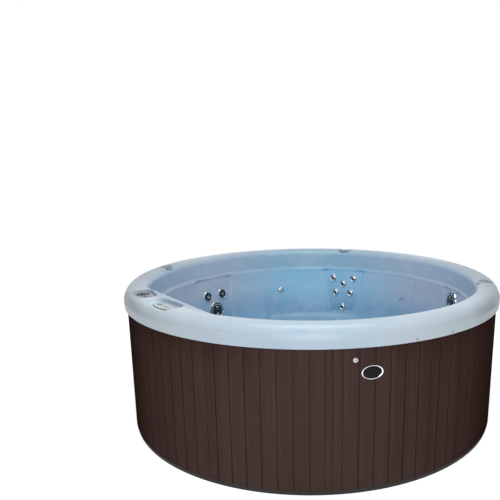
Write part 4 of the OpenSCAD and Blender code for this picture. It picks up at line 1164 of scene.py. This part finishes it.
# CAD pieces that keep their shape and take a finish
keptFinishes = {
    "base_pan": "pan", "frame_posts": "stud", "top_ring": "stud", "shell_supports": "foam",
    "air_valve_bodies": "valve", "diverter_bodies": "valve", "filter_housing": "filter",
    "filter_rest": "filter", "filter_cartridge": "pleat", "temperature_sensor": "blackSatin",
    "pump_motor": "motor", "pump_wet_end": "blackSatin", "pump_impeller": "impeller", "heater": "steel",
    "control_box": "box", "suction_pipe": "pipe", "pressure_pipe": "pipe", "water_manifold": "pipe",
    "jet_bodies": "blackSatin",
}
for node, finish in keptFinishes.items():
    for place in frame["nodes"][node].material_slots:
        place.material = finishes[finish]
print("kept pieces finished")


# floor, light and camera
studio = {"floor": 9.0, "sweep": 2.5, "wall": 8.0, "grey": (0.86, 0.86, 0.86), "glow": 0.82,
          "world": (0.94, 0.97, 1.0, 1), "worldStrength": 0.20}


def floorFinish():
    # plain grey to the lamps, lifted to white where the camera or a mirror sees it
    g = Graph("studioFloor")
    rays = g.add("ShaderNodeLightPath").socket.node.outputs
    seen = Wire(g, rays["Is Camera Ray"])
    for name in ("Is Glossy Ray", "Is Transmission Ray"):
        seen = seen.math("MAXIMUM", Wire(g, rays[name]))
    g.set(Base_Color=studio["grey"], Roughness=0.9, Specular_IOR_Level=0.0)
    plain = Wire(g, g.shader.outputs[0])
    glow = g.add("ShaderNodeEmission", None, {"Color": (1, 1, 1), "Strength": studio["glow"]})
    both = g.add("ShaderNodeAddShader", None, {0: plain, 1: glow})
    g.put(g.output.inputs[0], g.add("ShaderNodeMixShader", None, {0: seen, 1: plain, 2: both}))
    return g.material


def makeStage():
    size, sweep = studio["floor"], studio["sweep"]
    floor = bpy.data.meshes.new("studioFloor")
    rows = [(-size, 0.0), (size * 0.5, 0.0)]
    rows += [(size * 0.5 + sweep * math.sin(a), sweep - sweep * math.cos(a))
             for a in np.radians(np.linspace(5, 90, 24))]
    rows += [(size * 0.5 + sweep, studio["wall"])]
    vertices = [(x, y, z - 0.0005) for y, z in rows for x in (-size, size)]
    faces = [(2 * k, 2 * k + 1, 2 * k + 3, 2 * k + 2) for k in range(len(rows) - 1)]
    floor.from_pydata(vertices, [], faces)
    floor.materials.append(floorFinish())
    piece = bpy.data.objects.new("studioFloor", floor)
    bpy.context.scene.collection.objects.link(piece)
    world = bpy.data.worlds.new("studio")
    bpy.context.scene.world = world
    world.use_nodes = True
    world.node_tree.nodes["Background"].inputs[0].default_value = studio["world"]
    world.node_tree.nodes["Background"].inputs[1].default_value = studio["worldStrength"]


lamps = {
    "overhead": {"place": (0.0, -0.5, 3.2), "aim": (0, 0.1, 0.4), "size": 1.8, "power": 36,
                 "colour": (0.96, 0.99, 1.0)},
    "frontFill": {"place": (0.2, -4.0, 1.7), "aim": (0, 0, 0.45), "size": 2.4, "power": 49,
                  "colour": (1.0, 0.99, 0.98)},
}


def addLamp(name, look):
    lamp = bpy.data.lights.new(name, "AREA")
    lamp.shape = "DISK"
    lamp.size = look["size"]
    lamp.energy = look["power"]
    lamp.color = look["colour"]
    holder = bpy.data.objects.new(name, lamp)
    bpy.context.scene.collection.objects.link(holder)
    holder.location = look["place"]
    toward = Vector(look["aim"]) - Vector(look["place"])
    holder.rotation_euler = toward.to_track_quat("-Z", "Y").to_euler()


# down and turn in degrees, shift as a share of the frame
view = {"place": (0.1438, -3.1013, 1.3775), "down": 13.745, "turn": 1.93, "lens": 41.46,
        "shift": (-0.1396, 0.0928)}


def makeCamera():
    data = bpy.data.cameras.new("camera")
    data.sensor_width = 36
    data.lens = view["lens"]
    data.shift_x, data.shift_y = view["shift"]
    camera = bpy.data.objects.new("camera", data)
    bpy.context.scene.collection.objects.link(camera)
    camera.location = view["place"]
    camera.rotation_euler = (math.radians(90 - view["down"]), 0, math.radians(view["turn"]))
    bpy.context.scene.camera = camera


makeStage()
for name, look in lamps.items():
    addLamp(name, look)
makeCamera()
bpy.context.scene.view_settings.view_transform = "Standard"
bpy.context.view_layer.update()
print("stage, lamps and camera made")
